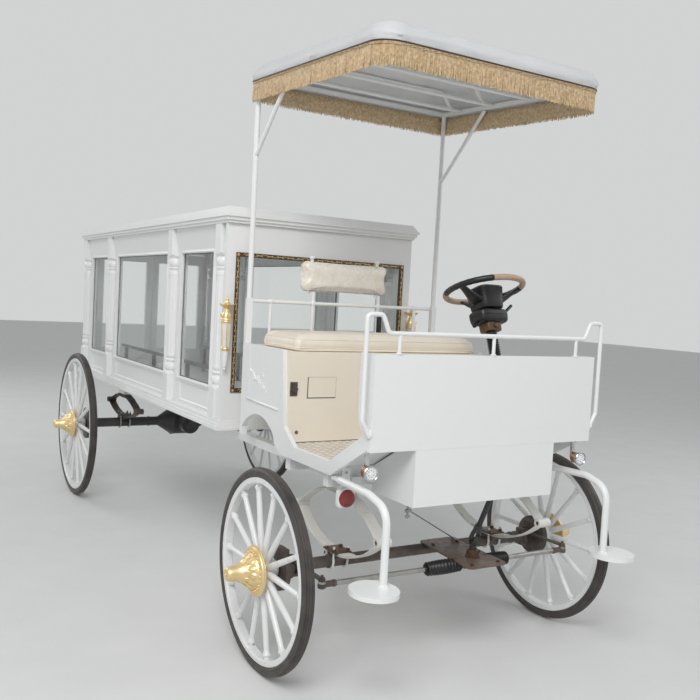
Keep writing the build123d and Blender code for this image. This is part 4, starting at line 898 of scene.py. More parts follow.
def make_lanterns():
    metal, stem, panes = Shape(), Shape(), Shape()
    side_v = Z.orthogonal().normalized()
    for side in BOTH:
        c = Vector((AXLE - 0.984, side * 0.581, 0.0))
        stem.lathe((0, 1146.2, 4.5, 1149, 7.5, 1153, 6, 1158, 9.5, 1164, 12.5, 1171, 12, 1178, 13.8, 1186, 15.2, 1215,
                    17.2, 1244, 17.2, 1250), c, Z, 32)
        metal.lathe((16.5, 1247.5, 21.2, 1249.5, 22.8, 1253, 22.2, 1257, 23.2, 1260, 21.5, 1264, 19, 1267, 0, 1267),
            c, Z, 36)
        panes.lathe((18.5, 1266.5, 20.8, 1281, 26.2, 1392, 26.2, 1396.5), c, Z, 6)
        for d in around(6, side_v, Z.cross(side_v)):
            metal.tube([c + d * r + Z * z for r, z in mm(19, 1266.5, 21.3, 1281, 26.8, 1398)], 0.0016, 7)
            leaf(metal, c + d * 0.0290 + Z * 1.4180, c + d * 0.0345 + Z * 1.4420, d, 0.0070, 0.0025, 5)
        metal.lathe((0, 1394.5, 27.5, 1394.5, 30, 1398, 30, 1401, 28, 1404, 30.5, 1408, 30, 1412, 26.2, 1417, 26.8,
            1420, 24, 1433, 19, 1445, 15, 1452, 16.2, 1456, 15, 1460, 10.5, 1464, 9.5, 1468), c, Z, 36)
        metal.lathe((9, 1466, 13, 1469, 23, 1474.5, 39, 1488, 38.5, 1491.5, 24, 1490, 15, 1493, 10, 1500, 8, 1506), c,
            Z, 48, 6, 0.010, (2, 5))
        metal.lathe((7, 1504, 8.5, 1506.5, 6.5, 1509.5, 8.5, 1514, 8.5, 1518, 6, 1522.5, 2.5, 1526, 0, 1528.5), c, Z,
            24)
        arm = [(AXLE + dx, side * y, z) for dx, y, z in ((-1.0185, 0.570, 1.250), (-1.010, 0.570, 1.246),
                                                         (-1.000, 0.574, 1.2525), (-0.992, 0.578, 1.2570))]
        metal.tube(smooth_path(arm, 6), 0.0042, 10)
        metal.lathe((0, 0, 15, 0, 16.5, 1, 15.5, 3, 10, 4.2, 0, 4.6), (AXLE - 1.0197, side * 0.562, 1.2520), X, 28)
        metal.blob(c + Z * 1.300, (0.006, 0.006, 0.016), 8, 14)
    metal.make("lantern_metal", gold, 40, replaces="lanterns")
    stem.make("lantern_stems", white, 40)
    panes.make("lantern_panes", lamp_glass, 0)


make_front_window()
make_lanterns()


# Head lamps with finned bodies and faceted lenses, red marker lamps
def make_lamps():
    housing, lens, fins, shell, red, studs = (Shape() for _ in range(6))
    for side in BOTH:
        c = Vector((AXLE + 0.414, side * 0.554, 0.894))
        housing.lathe((0, -30, 16, -30, 17.5, -26, 18, -12, 22.5, -9, 26.5, -4, 27.5, 2, 30, 5, 31, 9, 31, 15, 29.8,
            16.5, 28.2, 16.5, 27.5, 12.5), c, X, 48)
        for k in range(5):
            fins.lathe((15, 0, 23.5, 0, 24, 0.6, 24, 1.4, 23.5, 2, 15, 2), c + X * (0.0045 * k - 0.0275), X, 40)
        for count, radius, size, phase in ((1, 0.0, 8.8, 0), (6, 0.0098, 5.6, 0), (12, 0.0190, 5.2, 0.5)):
            for d in around(count, Y, Z, phase):
                lens.lathe((size, -3, size, 1.2, size * 0.75, 3.4, size * 0.35, 4.6, 0, 5), c + X * 0.0105
                    + d * radius, X, 6)
        lens.lathe((27.8, 8.5, 0, 9), c, X, 40)
        x, y = AXLE + 0.380, side * 0.548
        housing.block((x - 0.0052, y - 0.0090, 0.8915), (x + 0.0052, y + 0.0090, 1.0005))
        for z in (0.900, 0.985):
            housing.lathe((0, 0, 6.2, 0, 6.2, 3.8, 5.2, 4.6, 0, 4.6), (x - 0.0048, y, z), -X, 6)

        x, y, z = AXLE + 0.165, side * 0.505, 0.738
        sizes = [0.068, 0.076, 0.080, 0.080, 0.078, 0.072]
        beam(shell, [(x + dx, y, z) for dx in (-0.0130, -0.0120, -0.0020, 0.0060, 0.0110, 0.0130)], sizes, sizes, Y,
            6, 40)
        shell.block((x - 0.0105, y - 0.0205, z + 0.030), (x - 0.0015, y + 0.0205, 0.862))
        red.lathe((37.2, 11.5, 36.8, 16.5, 34, 21.5, 29, 25.2, 20, 28, 10, 29, 0, 29.2), (x, y, z), X, 48, 24, 0.0009,
                  (1, 4))
        for k in range(4):
            red.lathe((8 + 8 * k, 28 - 1.6 * k, 9.2 + 8 * k, 29.9 - 2.2 * k, 10.4 + 8 * k, 27.4 - 2.2 * k), (x, y, z),
                X, 48)
        for level in (0.795, 0.842):
            studs.lathe((0, 0, 6, 0, 6, 3.6, 0, 4.4), (x - 0.0017, y, level), X, 6)
    housing.make("headlamp_shells", lamp_metal, replaces="headlamps")
    fins.make("headlamp_fins", copper)
    lens.make("headlamp_lenses", lens_glass, 0)
    shell.make("marker_lamp_shells", white, replaces="marker_lamps")
    red.make("marker_lamp_lenses", red_lens, 40)
    studs.make("marker_lamp_bolts", steel)


make_lamps()


# Driver's cab: steering wheel and column, chequered floor, trim on the sheets and boards
LEAN = math.radians(20)
WHEEL_CENTRE, COLUMN_LENGTH = Vector((AXLE - 0.090, 0.370, 1.628)), 0.7678
UP_COLUMN = Vector((-math.sin(LEAN), 0, math.cos(LEAN)))
FORE = Y.cross(UP_COLUMN)
TOE_RUN = Vector((0.287, 0, 0.166)).normalized()
TOE_NORMAL = Vector((-TOE_RUN.z, 0, TOE_RUN.x))
TOE_FOOT = Vector((AXLE + 0.136, 0, 0.885))


def at_column(u, v, w):
    """Point in the steering wheel's own frame: left, forward, up the column."""
    return WHEEL_CENTRE + Y * u + FORE * v + UP_COLUMN * w


def column_beam(shape, rows, power, segs):
    """Rounded box along the column. rows: level, width and depth, in millimetres."""
    levels, widths, depths = zip(*[[n / 1000 for n in row] for row in rows])
    beam(shape, [at_column(0, 0, w) for w in levels], widths, depths, Y, power, segs)


def make_steering_wheel():
    dark, tan, hub = Shape(), Shape(), Shape()
    radius, tube, count = 0.186, 0.0146, 36
    for start, shape in ((-65, dark), (25, tan), (115, dark), (205, tan)):
        pts, radii = [], []
        for i in range(count + 1):
            a = math.radians(start + 90 * i / count)
            pts.append(at_column(radius * math.cos(a), radius * math.sin(a), 0))
            grip = 0.0004 * math.sin(TAU * i / 4.5) if shape is dark else 0.0
            radii.append(tube + grip - (0.0010 if i in (0, count) else 0.0))
        shape.tube(pts, radii, 20)
    column_beam(hub, [(w, s, s) for w, s in ((-103.5, 118), (-102, 126), (-97, 131), (-70, 137), (-35, 144),
        (-12, 149), (-8.5, 150), (-7, 151.5), (-2, 151.5), (2.5, 147), (4, 136))], 3.6, 40)
    column_beam(hub, [(w, s, s) for w, s in ((2, 126), (6.2, 125), (8.5, 118), (9.5, 100))], 3.6, 40)
    for turn in (16, 166, 271):
        ca, sa = math.cos(math.radians(turn)), math.sin(math.radians(turn))
        run = mm(48, -66, 74, -60, 100, -48, 130, -31, 158, -13, 183, -2)
        beam(dark, [at_column(ca * r, sa * r, w) for r, w in run], [0.090, 0.074, 0.058, 0.044, 0.034, 0.026],
             [0.036, 0.030, 0.024, 0.019, 0.016, 0.014], Y * -sa + FORE * ca, 3.5)
    dark.make("steering_wheel_rim", plastic, 50, "steering_wheel", replaces="steering_wheel")
    tan.make("steering_wheel_grips", tan_leather, 50, "steering_wheel")
    hub.make("steering_wheel_hub", plastic, body="steering_wheel")


def make_column():
    pods, lock, metal = Shape(), Shape(), Shape()
    column_beam(pods, ((-109.5, 146, 100), (-111.5, 158, 110), (-116, 166, 117), (-121.5, 170, 120), (-136, 170, 120),
                       (-136.8, 167, 117), (-138.2, 167, 117), (-139, 170, 120), (-156, 167, 117), (-164, 162, 112),
                       (-170, 152, 102), (-171.8, 140, 90)), 5, 40)
    pods.lathe((0, -115, 30, -115, 30, -106, 24, -104.5, 0, -104.5), WHEEL_CENTRE, UP_COLUMN, 32)
    bends = ((0.078, 0.0, -0.134), (0.104, -0.006, -0.116), (0.140, -0.014, -0.090), (0.176, -0.022, -0.066))
    stalk = smooth_path([at_column(*bend) for bend in bends], 6)
    pods.tube(stalk, [0.0042 + 0.0034 * min(1.0, max(0.0, (i - 7) / 4)) for i in range(len(stalk))], 14)
    pods.blob(stalk[-1], 0.0078, 6, 12)
    pods.tube([at_column(-0.070, 0.0, -0.160), at_column(-0.090, 0.004, -0.176), at_column(-0.104, 0.006, -0.187)],
              [0.009, 0.0115, 0.0105], 16)
    column_beam(lock, ((-170, 90, 80), (-174, 90, 80), (-206, 88, 78), (-211, 84, 74), (-212, 78, 68)), 5, 32)
    lock.lathe((0, 0, 11, 0, 11, 7, 8, 9, 0, 9), at_column(0.0, 0.039, -0.190), FORE, 20)
    profile, fold, folds = [21.5, 6 - COLUMN_LENGTH * 1000, 21.5, -372, 24.5, -370, 26.2, -366], 11.5, 12
    for k in range(folds):
        low = fold * k - 364
        profile += [23.8, low, 28.5, low + fold * 0.45, 28.5, low + fold * 0.55]
    profile += [23.8, fold * folds - 364, 26.2, -222, 26.2, -216, 22, -213, 22, -205]
    pods.lathe(profile, WHEEL_CENTRE, UP_COLUMN, 36)
    foot = at_column(0, 0, -COLUMN_LENGTH)
    metal.lathe((0, 0, 35.5, 0, 36, 1, 36, 5.5, 34.5, 7, 26.5, 8, 24, 14, 21.5, 15), foot, TOE_NORMAL, 40)
    for d in around(3, Y, TOE_RUN, 0.25):
        bolt(metal, foot + d * 0.0295 + TOE_NORMAL * 0.0068, TOE_NORMAL, 5.5, 5)
    pods.make("steering_pods", plastic, replaces="steering_column")
    lock.make("steering_lock", bronze)
    metal.make("column_flange", black)


def lozenge(shape, centre, along, normal, length=0.0350, width=0.0135, rise=0.0022):
    """Raised lens of a chequered plate."""
    t, count = along.normalized(), 8
    s = normal.cross(t)
    verts = [centre + d * scale + normal * lift for scale, lift in ((1.0, -0.0006), (0.5, rise))
             for d in around(count, t * length / 2, s * width / 2)]
    shape.add(verts, grid(2, count) + ends(2, count)[1:])


def make_floor_plate():
    plate, collars, pitch = Shape(), Shape(), 0.0410
    column_foot = at_column(0, 0, -COLUMN_LENGTH)
    for foot, run, normal, length in ((Vector((AXLE - 0.272, 0, 0.885)), X, Z, 0.400),
                                      (TOE_FOOT + TOE_RUN * 0.012, TOE_RUN, TOE_NORMAL, 0.312)):
        for i in range(int(length / pitch) + 1):
            for j in range(-13, 14):
                c = foot + run * (i * pitch) + Y * (j * pitch)
                if (c - column_foot).length >= 0.052:
                    lozenge(plate, c, run + Y * (1 if (i + j) % 2 else -1), normal)
    plate.make("floor_lozenges", cream_plate, 0)
    for side in BOTH:
        collars.lathe((15, 506.8, 21.5, 508, 20.5, 511, 17.2, 513.5, 15, 518), (AXLE + 0.575, side * 0.572, 0), Z, 32)
    collars.make("step_collars", white, 30)


def add_scroll(shape, centre, way, out):
    """Stem with paired leaves and a curl, to one side of a flower."""
    stem = ((0.016, 0.0), (0.040, -way * 0.013 - 0.006), (0.066, -way * 0.024 + 0.006), (0.092, -way * 0.036))
    path = smooth_path([centre + Vector((way * dx, 0, dz)) for dx, dz in stem], 8)
    last = len(path) - 1
    shape.tube([p + out * 0.0012 for p in path], [0.0030 - 0.0016 * i / last for i in range(last + 1)], 8)
    for share in (0.22, 0.42, 0.62, 0.82, 1.0):
        at = int(share * last)
        t = (path[min(at + 1, last)] - path[max(at - 1, 0)]).normalized()
        for flip in BOTH:
            d = (t * 0.75 + t.cross(out) * flip * 0.8).normalized()
            leaf(shape, path[at], path[at] + d * (0.026 - 0.010 * share), out, 0.0065 - 0.002 * share, 0.0042, 5)
    eye, count, curl = centre + Vector((way * 0.046, 0, way * 0.010 + 0.016)) + out * 0.0014, 28, []
    for i in range(count + 1):
        a, r = 1.35 * TAU * i / count - 0.6, 0.0150 - 0.0120 * i / count
        curl.append(eye + (X * way * math.cos(a) + Z * math.sin(a)) * r)
    shape.tube(curl, [0.0026 - 0.0012 * i / count for i in range(count + 1)], 8)


def make_side_trim():
    strips, relief = Shape(), Shape()
    for side in BOTH:
        y = side * 0.577
        beam(strips, [(AXLE - 0.700, y, 1.0400), (AXLE - 0.694, y + side * 0.0015, 1.0398),
                      (AXLE - 0.350, y + side * 0.0015, 1.0302), (AXLE - 0.344, y, 1.0300)],
             [0.004, 0.010, 0.010, 0.004], [0.003, 0.009, 0.009, 0.003], Z, 3, 12)
        beam(strips, [(AXLE - 0.6745, y, 1.048), (AXLE - 0.6745, y + side * 0.0004, 1.054),
                      (AXLE - 0.6745, y + side * 0.0004, 1.3050)], [0.003, 0.007, 0.007], [0.002, 0.0036, 0.0036], X,
             2.4, 12)
        out, c = Y * side, Vector((AXLE - 0.572, y, 1.141))
        for d in around(7):
            leaf(relief, c + d * 0.003, c + d * 0.024, out, 0.0085, 0.0050, 6)
        relief.blob(c + out * 0.002, (0.0055, 0.0045, 0.0055), 6, 12)
        for way in BOTH:
            add_scroll(relief, c, way, out)
    strips.make("cab_side_strips", white, 40)
    relief.make("cab_side_relief", white, 60)


def make_seat_box_trim():
    dark, hatch, latch, face = Shape(), Shape(), Shape(), AXLE - 0.285
    # Dark grey strips are painted shade: in the gaps round the hatch, wider along two of its edges than the other
    # two, and along the board's foot at the floor. The ring and disc below the hatch take the same grey.
    dark.block((face - 0.001, -0.5555, 0.8852), (face + 0.0006, 0.5555, 0.8895))
    y0, y1, z0, z1 = -0.464, -0.314, 1.0875, 1.186
    for lo, hi in (((y0, z0), (y0 + 0.0050, z1)), ((y0, z0), (y1, z0 + 0.0050)), ((y0, z1 - 0.0012), (y1, z1)),
                   ((y1 - 0.0012, z0), (y1, z1))):
        dark.block((face - 0.001, *lo), (face + 0.0005, *hi))
    hatch.block((face - 0.001, y0 + 0.0052, z0 + 0.0052), (face + 0.0016, y1 - 0.0014, z1 - 0.0014))
    for profile in ((4.5, 0, 8.5, 0, 8.5, 1.8, 7, 2.8, 4.5, 1.8), (0, -0.4, 5, -0.4, 5, 0.4, 0, 0.6)):
        dark.lathe(profile, (face, -0.509, 0.934), X, 24)
    dark.make("board_gaps_painted_shade", grey_seal, 0)
    hatch.make("seat_box_hatch", ply, 0, bevel=0.0006)
    latch.block((face, -0.5520, 1.1000), (face + 0.0030, -0.5150, 1.1640))
    latch.block((face + 0.0030, -0.5460, 1.1180), (face + 0.0140, -0.5240, 1.1460))
    latch.tube([(face + 0.0095, -0.5540, 1.1320), (face + 0.0095, -0.5160, 1.1320)], 0.0042, 12)
    for z in (1.1065, 1.1575):
        for y in (-0.5450, -0.5220):
            latch.lathe((0, 0, 3.4, 0, 2.6, 1.8, 0, 2.2), (face + 0.0030, y, z), X, 12)
    latch.make("seat_box_latch", dark_steel, 30, bevel=0.0008)


def make_rail_fittings():
    plates, collars, rail, dash = Shape(), Shape(), AXLE - 0.7625, AXLE + 0.437
    beam(plates, [(rail + 0.0112, 0.206, z) for z in (1.372, 1.375, 1.486, 1.489)], [0.024, 0.030, 0.030, 0.024],
         [0.0060, 0.0080, 0.0080, 0.0060], Y)
    for z in (1.392, 1.470):
        bolt(plates, (rail + 0.0150, 0.206, z), X, 6, 4.5)
    plates.make("backrest_plates", black, 30)
    for y in (-0.440, -0.2, 0.2, 0.440):
        collars.lathe((9, 0, 17.5, 0, 18, 1.2, 18, 3.6, 14.5, 5, 10.8, 8.5, 9, 9), (rail, y, 1.3004), Z, 28)
        collars.lathe((9, -14.5, 11.2, -12.5, 12.6, -4, 12.6, 4, 11.2, 12.5, 9, 14.5), (rail, y, 1.516),
                      Z if abs(y) < 0.3 else Y, 24)
    for y in (-0.465, 0.0, 0.465):
        collars.lathe((7.2, 0, 13, 0, 13, 3, 9.5, 6, 7.2, 6.6), (dash, y, 1.3515), Z, 24)
    for side in BOTH:
        collars.lathe((0, 0, 16, 0, 17.5, 1.2, 17.5, 4, 12, 6, 0, 6.2), (dash, side * 0.5775, 1.050), Y * side, 28)
    collars.make("rail_collars", white, 40)


make_steering_wheel()
make_column()
make_floor_plate()
make_side_trim()
make_seat_box_trim()
make_rail_fittings()


# Running gear: leaf springs with clips and U bolts, axle and brake details, steering gear boots
SPRING_Y, LEAF_WIDTH, DRUM_Y, BOW_TOP = 0.430, 0.055, 0.7085, 0.738
RACK = Vector((AXLE + 0.262, 0, 0.425))


def bowed(cx, low, tip_z, reach, share, count=24):
    """Points of a circular bow from -share to +share of its reach."""
    sag, way = abs(tip_z - low), 1 if tip_z > low else -1
    radius = (reach ** 2 + sag ** 2) / (2 * sag)
    offsets = [reach * share * (2 * i / count - 1) for i in range(count + 1)]
    return [Vector((cx + dx, 0, low + way * (radius - math.sqrt(radius ** 2 - dx ** 2)))) for dx in offsets]


def make_springs(end, cx, seat_z, reach, axle_z, tube, paint, bolt_paint, nut_paint):
    leaves, fasteners, nuts = Shape(), Shape(), Shape()
    mid_z, pack, leaf_h = (seat_z + BOW_TOP) / 2, 0.014, 0.0046
    base, bend = seat_z + pack, tube + 0.0056
    for side in BOTH:
        shift = Y * side * SPRING_Y
        for low, tip_z in ((seat_z, mid_z - 0.002), (BOW_TOP, mid_z + 0.002)):
            for k, share in enumerate((1.0, 0.62, 0.34)):
                lift = leaf_h * (k + 0.5) - (pack if low == BOW_TOP else 0)
                pts = [p + shift for p in bowed(cx, low + lift, tip_z + lift, reach, share)]
                full = [k == 0 or 1 < i < len(pts) - 2 for i in range(len(pts))]
                beam(leaves, pts, [LEAF_WIDTH * (1.0 if whole else 0.72) for whole in full],
                     [leaf_h * (0.97 if whole else 0.6) for whole in full], Y, 6, 12)
        for way in BOTH:
            eye = Vector((cx + way * reach, side * SPRING_Y, mid_z))
            for flip in BOTH:
                leaves.lathe((10, 0, 10, flip * 33, 19, flip * 33, 20.5, flip * 31.5, 20.5, 0), eye, Y, 36)
                nuts.lathe((0, flip * 20, 10.2, flip * 20, 10.2, flip * 29, 0, flip * 29), eye, Y, 24)
        beam(leaves, [(cx + dx, side * SPRING_Y, BOW_TOP - 0.0205) for dx in (-0.075, 0.075)], LEAF_WIDTH + 0.004,
            0.0085, Y, 7, 16)
        beam(nuts, [(cx + dx, side * SPRING_Y, base + 0.0035) for dx in (-0.056, -0.053, 0.053, 0.056)],
             [0.076, 0.084, 0.084, 0.076], [0.005, 0.008, 0.008, 0.005], Y, 7, 16)
        for y in (side * SPRING_Y - 0.0345, side * SPRING_Y + 0.0345):
            turns = [math.pi * k / 10 for k in range(11)]
            run = [(cx + bend * math.cos(a), y, axle_z - bend * math.sin(a)) for a in turns]
            fasteners.tube([(cx + bend, y, base + 0.026), *run, (cx - bend, y, base + 0.026)], 0.0054, 10)
            for dx in (-bend, bend):
                bolt(nuts, (cx + dx, y, base + 0.0070), Z, 11, 10)
    leaves.make(f"{end}_spring_leaves", paint, replaces=f"{end}_springs")
    fasteners.make(f"{end}_spring_bolts", bolt_paint, 30)
    nuts.make(f"{end}_spring_nuts", nut_paint, 30)


def add_bands(shape, cx, cz, inner, bands, segs):
    """Raised bands round an axle tube. bands: radius and distance from the middle, in millimetres."""
    for side in BOTH:
        for r, y in bands:
            shape.lathe((inner, -6, r, -4, r, 4, inner, 6), (cx, side * y / 1000, cz), Y, segs)


def make_front_axle():
    axle = Shape()
    for side in BOTH:
        for z, way in ((0.4602, 1), (0.3798, -1)):
            axle.lathe((0, 0, 16.5, 0, 16.5, 3.5, 12, 5.5, 12, 9, 0, 10), (AXLE, side * 0.655, z), Z * way, 28)
    add_bands(axle, AXLE, FRONT_R, 24.5, ((27.5, 590), (27.5, 560), (29, 475)), 40)
    axle.make("front_axle_bands", dark_steel)
    for name, side in SIDES:
        brake, c, out = Shape(), Vector((AXLE, side * DRUM_Y, FRONT_R)), Y * side
        brake.lathe((60, -12.2, 90.5, -12.2, 93.5, -10.5, 93.5, -6, 91.5, -4.5, 91.5, 3, 93.5, 4.5, 93.5, 9, 90.5,
            11.8, 60, 11.8), c, out)
        for d in around(8):
            bolt(brake, c + d * 0.074 - out * 0.0118, -out, 6, 5)
        beam(brake, [(AXLE + dx, side * 0.688, 0.492) for dx in (-0.030, 0.030)], 0.020, 0.024, Y, 4, 16)
        brake.lathe((0, 0, 13, 0, 13, 6, 6, 7, 6, 16, 0, 17), RACK + Vector((0, side * 0.650, 0.0225)), Z, 6)
        brake.make(f"knuckle_{name}_brake", dark_steel, body=f"knuckle_{name}")


def make_rear_axle():
    shape, mid = Shape(), Vector((REAR_X, 0.020, REAR_R))
    for d in around(12, Y, Z, 0.5):
        bolt(shape, mid + X * 0.2296 + d * 0.056, X, 7, 6)
    shape.lathe((0, 229, 44, 229, 44, 240, 36, 244, 36, 256, 30, 259, 0, 259), mid, X, 40)
    shape.lathe((70, 100, 76, 102, 76, 114, 70, 116), mid, X, 48)
    for way in BOTH:
        shape.lathe((103, -6, 107.5, -4, 107.5, 4, 103, 6), mid + Y * way * 0.080, Y)
        for d in around(14):
            bolt(shape, mid + d * 0.0985 + Y * way * 0.0845, Y * way, 5.8, 5)
    add_bands(shape, REAR_X, REAR_R, 33.5, ((37.5, 240), (37, 640), (40, 676)), 48)
    for side in BOTH:
        c = Vector((REAR_X, side * DRUM_Y, REAR_R))
        shape.lathe((70, -12.2, 110.5, -12.2, 114, -10, 114, -4, 112, -3, 112, 3, 114, 4.5, 114, 9, 110.5, 11.8, 70,
                     11.8), c, Y * side, 72)
        for d in around(6):
            bolt(shape, c + d * 0.060 - Y * side * 0.0118, Y * -side, 7.5, 6)
    shape.make("rear_axle_fittings", black)


def make_steering_gear():
    boots, gear, studs, folds = Shape(), Shape(), Shape(), 11
    for start, end in ((-146, 37), (160, 300)):
        pitch = (end - start) / folds
        profile = [12.5, start - 6, 17, start - 6, 17, start + 4]
        for k in range(folds):
            swell, base = 3.5 * math.sin(math.pi * (k + 0.5) / folds), start + pitch * k
            for r, share in ((22.5, 0.10), (27.5, 0.36), (29, 0.50), (27.5, 0.64), (22.5, 0.90)):
                profile += [r + swell, base + pitch * share]
        boots.lathe(profile + [17, end - 4, 17, end + 6, 12.5, end + 6], RACK, Y, 48)
    boots.make("rack_boots", plastic, 50, slot="black_rubber")

    pinion = RACK + Y * 0.105
    gear.lathe((13, 35.5, 19.5, 35.5, 20, 37, 20, 56, 22.5, 60, 22.5, 148, 20, 152, 20, 160, 19.5, 161.5, 13, 161.5),
        RACK, Y, 40)
    gear.lathe((0, 0, 24, 0, 24, 50, 22.5, 56, 18, 59.8, 0, 59.8), pinion, Z, 36)
    outline = []
    for cx, cy, start in ((-0.001, 0.0435, 180), (0.371, 0.0090, 270), (0.371, 0.1710, 0), (-0.001, 0.1855, 90)):
        turns = [math.radians(start + 9 * k) for k in range(11)]
        outline += [(AXLE + cx + 0.024 * math.cos(g), cy + 0.024 * math.sin(g)) for g in turns]
    verts = []
    for z, shrink in ((0.4453, 0.0012), (0.4463, 0.0), (0.4523, 0.0), (0.4533, 0.0012)):
        verts += [(x - math.copysign(shrink, x - AXLE - 0.185), y - math.copysign(shrink, y - 0.1025), z)
                  for x, y in outline]
    gear.add(verts, grid(4, len(outline)) + ends(4, len(outline)))
    gear.make("steering_plate", brown_plate, replaces="steering_gear")
    for dx, y in ((0.365, 0.020), (0.365, 0.165), (0.215, 0.178), (0.060, 0.040), (0.060, 0.180)):
        bolt(studs, (AXLE + dx, y, 0.4533), Z, 10.5, 8)
    studs.lathe((0, 0, 34, 0, 34, 4, 28, 7, 26, 30, 22.5, 33, 0, 33), pinion + Z * 0.0283, Z, 36)
    studs.make("steering_plate_bolts", bronze, slot="steel")


def make_shaft_joint():
    joint, foot, centre = Shape(), Vector((AXLE + 0.262, 0.105, 0.485)), Vector((AXLE + 0.262, 0.105, 0.530))
    run = Vector((AXLE + 0.290, 0.180, 0.747)) - centre
    length = run.length * 1000 - 0.6
    run.normalize()
    joint.lathe((0, 0, 16.5, 0, 16.5, 14, 13, 18, 13, 26, 0, 26), foot, Z, 28)
    joint.lathe((0, 30, 17, 30, 18.5, 34, 18.5, 62, 14, 68, 11.8, 72, 11.8, length, 0, length), centre, run, 32)
    for axis, base, way in ((X, foot + Z * 0.022, Z), (Y, centre + run * 0.034, -run)):
        side = (axis - way * axis.dot(way)).normalized()
        for flip in BOTH:
            arm = [base + side * flip * out + way * up for out, up in mm(13.5, 0, 16.5, 10, 16.5, 30, 16, 38)]
            beam(joint, arm, [0.024, 0.024, 0.022, 0.014], [0.008, 0.0075, 0.0075, 0.0070], way.cross(side), 4, 14)
        joint.tube([centre - side * 0.0205, centre + side * 0.0205], 0.0062, 14)
    joint.blob(centre, 0.0100, 8, 14)
    joint.make("steering_joint", black, replaces="steering_shaft")


def make_rods():
    rod, ends_shape = Shape(), Shape()
    hang = Vector((AXLE + 0.376, -0.338, 0.7505))
    rod.block((hang.x - 0.018, hang.y - 0.012, 0.7465), (hang.x + 0.018, hang.y + 0.012, 0.7508))
    beam(rod, [hang - Z * 0.003, hang - Z * 0.030, hang - Vector((0.004, 0, 0.060))], [0.020, 0.016, 0.014], 0.005, X,
        4, 12)
    for y0, y1, z, radius, segs in ((-0.012, 0.014, -0.028, 0.0065, 14), (-0.010, 0.010, -0.052, 0.0050, 12)):
        rod.tube([hang + Vector((0, y0, z)), hang + Vector((0, y1, z))], radius, segs)
    rod.tube([hang + Vector((0, 0.006, -0.028)), (AXLE + 0.030, 0.186, 0.4600)], 0.0028, 10)
    rod.block((AXLE + 0.016, 0.176, 0.4530), (AXLE + 0.044, 0.196, 0.4640))
    rod.make("brake_rod", steel)
    for side in BOTH:
        c = RACK + Vector((0, side * 0.650, 0.0015))
        ends_shape.lathe((0, -17.5, 12.5, -17.5, 16.5, -13.5, 17.2, -7, 17.2, 2, 15, 6.5, 11.5, 11, 0, 11), c, Z, 32)
        ends_shape.lathe((11.5, 0, 14.5, 0, 14.5, 14, 11.5, 14), c - Vector((0, side * 0.062, 0.0015)), Y * side, 6)
        ends_shape.lathe((11.2, 0, 12.8, 3, 12.8, 36, 11.2, 40), c - Vector((0, side * 0.048, 0.0015)), Y * side, 24)
    ends_shape.make("tie_rod_ends", dark_steel, body="rack")


def make_rear_doors():
    x, low, high = POSTS[0] - POST_HALF + 0.005, 0.003, 0.465
    half = (high - low) / 2
    for name, side in SIDES:
        trim, metal, centre, y = Shape(), Shape(), side * (low + high) / 2, side * 0.030
        for z, hu, hv, profile in (
                (WINDOW_Z, 0.050, WINDOW_HALF, [n * 0.7 if k % 2 else n for k, n in enumerate(BEAD)]),
                (0.9640, 0.060, 0.0360, (-1, -1, 0, 3, 3, 5.6, 6, 6, 9, 4, 10, -1)),
                (1.8170, 0.060, 0.0150, (-1, -1, 0, 2.4, 2.4, 4.4, 4.8, 4.4, 7, 2.4, 7.6, -1))):
            moulding(trim, (x, centre, z), Y, Z, -X, half - hu, hv, profile)
        trim.make(f"rear_door_{name}_mouldings", white, 30, f"rear_{name}_door")
        metal.lathe((0, 1279, 6, 1280, 9.5, 1284, 8.8, 1290, 7, 1296, 9.5, 1306, 10, 1330, 9.5, 1354, 7, 1364, 8.8,
            1370, 9.5, 1376, 6, 1380, 0, 1381), (x - 0.012, y, 0), Z, 24)
        for z in (1.295, 1.365):
            metal.lathe((0, 0, 15, 0, 15.5, 1.2, 14.5, 2.8, 10.5, 4, 8, 10), (x, y, z), -X, 28)
        for z in (1.000, 1.372, 1.745):
            for level in (z - 0.012, z + 0.012):
                metal.lathe((0, 0, 3.6, 0, 3, 1.6, 0, 2), (x - 0.0106, side * 0.4545, level), -X, 12)
        metal.make(f"rear_door_{name}_handle", gold, 40, f"rear_{name}_door")
    surround = Shape()
    moulding(surround, (x, 0, 1.378), Y, Z, -X, 0.4745, 0.4870, (0, -1, 0, 3.5, 3, 5.5, 6.5, 5.5, 9, 3, 9, -1))
    surround.make("rear_frame_moulding", white, 30)


def make_rail_feet():
    feet = Shape()
    for side in BOTH:
        for offset in (-3.600, -2.900, -2.200, -1.500):
            feet.lathe((11, 0, 24, 0, 24, 3, 18, 5, 15, 11, 11, 12), (AXLE + offset, side * 0.330, 0.8754), Z, 24)
            for dx in (0.017, -0.017):
                feet.lathe((0, 0, 3.4, 0, 2.6, 2, 0, 2.4), (AXLE + offset + dx, side * 0.330, 0.8782), Z, 10)
    feet.make("casket_rail_feet", steel)


make_springs("front", AXLE, 0.449, 0.345, FRONT_R, 0.025, spring_paint, spring_paint, bronze)
make_springs("rear", REAR_X, 0.561, 0.360, REAR_R, 0.034, dark_steel, steel, dark_steel)
make_front_axle()
make_rear_axle()
make_steering_gear()
make_shaft_joint()
make_rods()
make_rear_doors()
make_rail_feet()


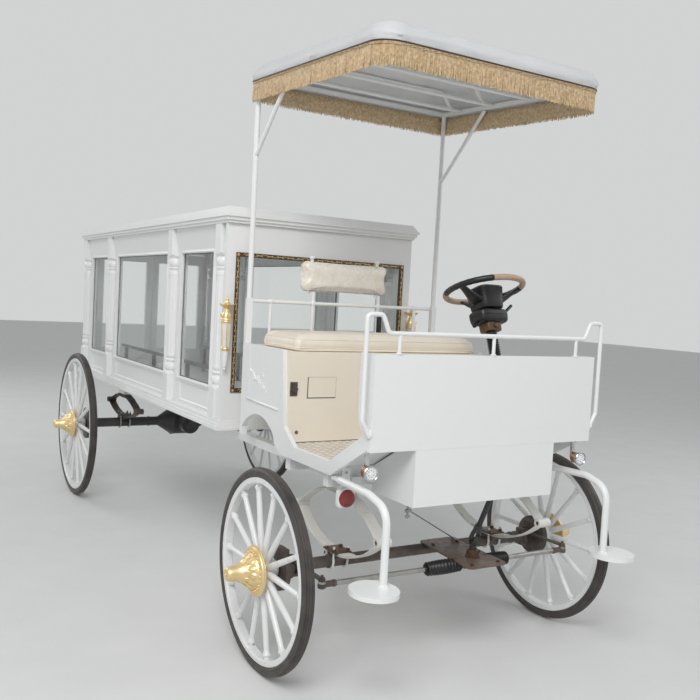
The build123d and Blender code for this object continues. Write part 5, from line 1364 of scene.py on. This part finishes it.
# Floor, world and lamps
def make_world():
    """One colour lights the scene; a brighter one is seen directly, in reflections and through glass."""
    world = bpy.data.worlds.new("world")
    bpy.context.scene.world = world
    world.use_nodes = True
    nt = world.node_tree
    light, seen = nt.nodes["Background"], nt.nodes.new("ShaderNodeBackground")
    for node, colour, strength in ((light, (0.82, 0.835, 0.84, 1), 0.50), (seen, (0.80, 0.81, 0.81, 1), 0.80)):
        node.inputs["Color"].default_value = colour
        node.inputs["Strength"].default_value = strength
    path = nt.nodes.new("ShaderNodeLightPath")
    direct = path.outputs["Is Camera Ray"]
    for ray in ("Is Glossy Ray", "Is Transmission Ray"):
        either = nt.nodes.new("ShaderNodeMath")
        either.operation = "MAXIMUM"
        nt.links.new(direct, either.inputs[0])
        nt.links.new(path.outputs[ray], either.inputs[1])
        direct = either.outputs[0]
    mix = nt.nodes.new("ShaderNodeMixShader")
    for number, socket in enumerate((direct, light.outputs[0], seen.outputs[0])):
        nt.links.new(socket, mix.inputs[number])
    nt.links.new(mix.outputs[0], nt.nodes["World Output"].inputs["Surface"])


def make_stage():
    bpy.ops.mesh.primitive_plane_add(size=60, location=(0, 0, 0))
    floor = bpy.context.object
    floor.name = "stage_floor"
    m, nt, b = new_material("stage_floor")
    b.inputs["Roughness"].default_value = 0.6
    b.inputs["Specular IOR Level"].default_value = 0.2
    nt.links.new(mix_colours(nt, uneven(nt, 3.0), (0.74, 0.745, 0.74), (0.77, 0.775, 0.77)), b.inputs["Base Color"])
    floor.data.materials.append(m)
    make_world()
    for name, place, target, size, power in (("key", (6.0, -4.0, 6.0), (0.5, 0, 1.0), 3.5, 350),
                                             ("fill", (3.5, 6.0, 4.5), (0.5, 0, 1.0), 4.5, 80),
                                             ("rear", (-7.0, -4.0, 5.0), (-1.0, 0, 1.0), 4.5, 130)):
        data = bpy.data.lights.new(name, "AREA")
        data.size = size
        data.energy = power
        ob = add_to_scene(name, data)
        ob.location = place
        ob.rotation_euler = (Vector(target) - Vector(place)).to_track_quat("-Z", "Y").to_euler()
    bpy.context.scene.view_settings.view_transform = "Standard"


make_stage()
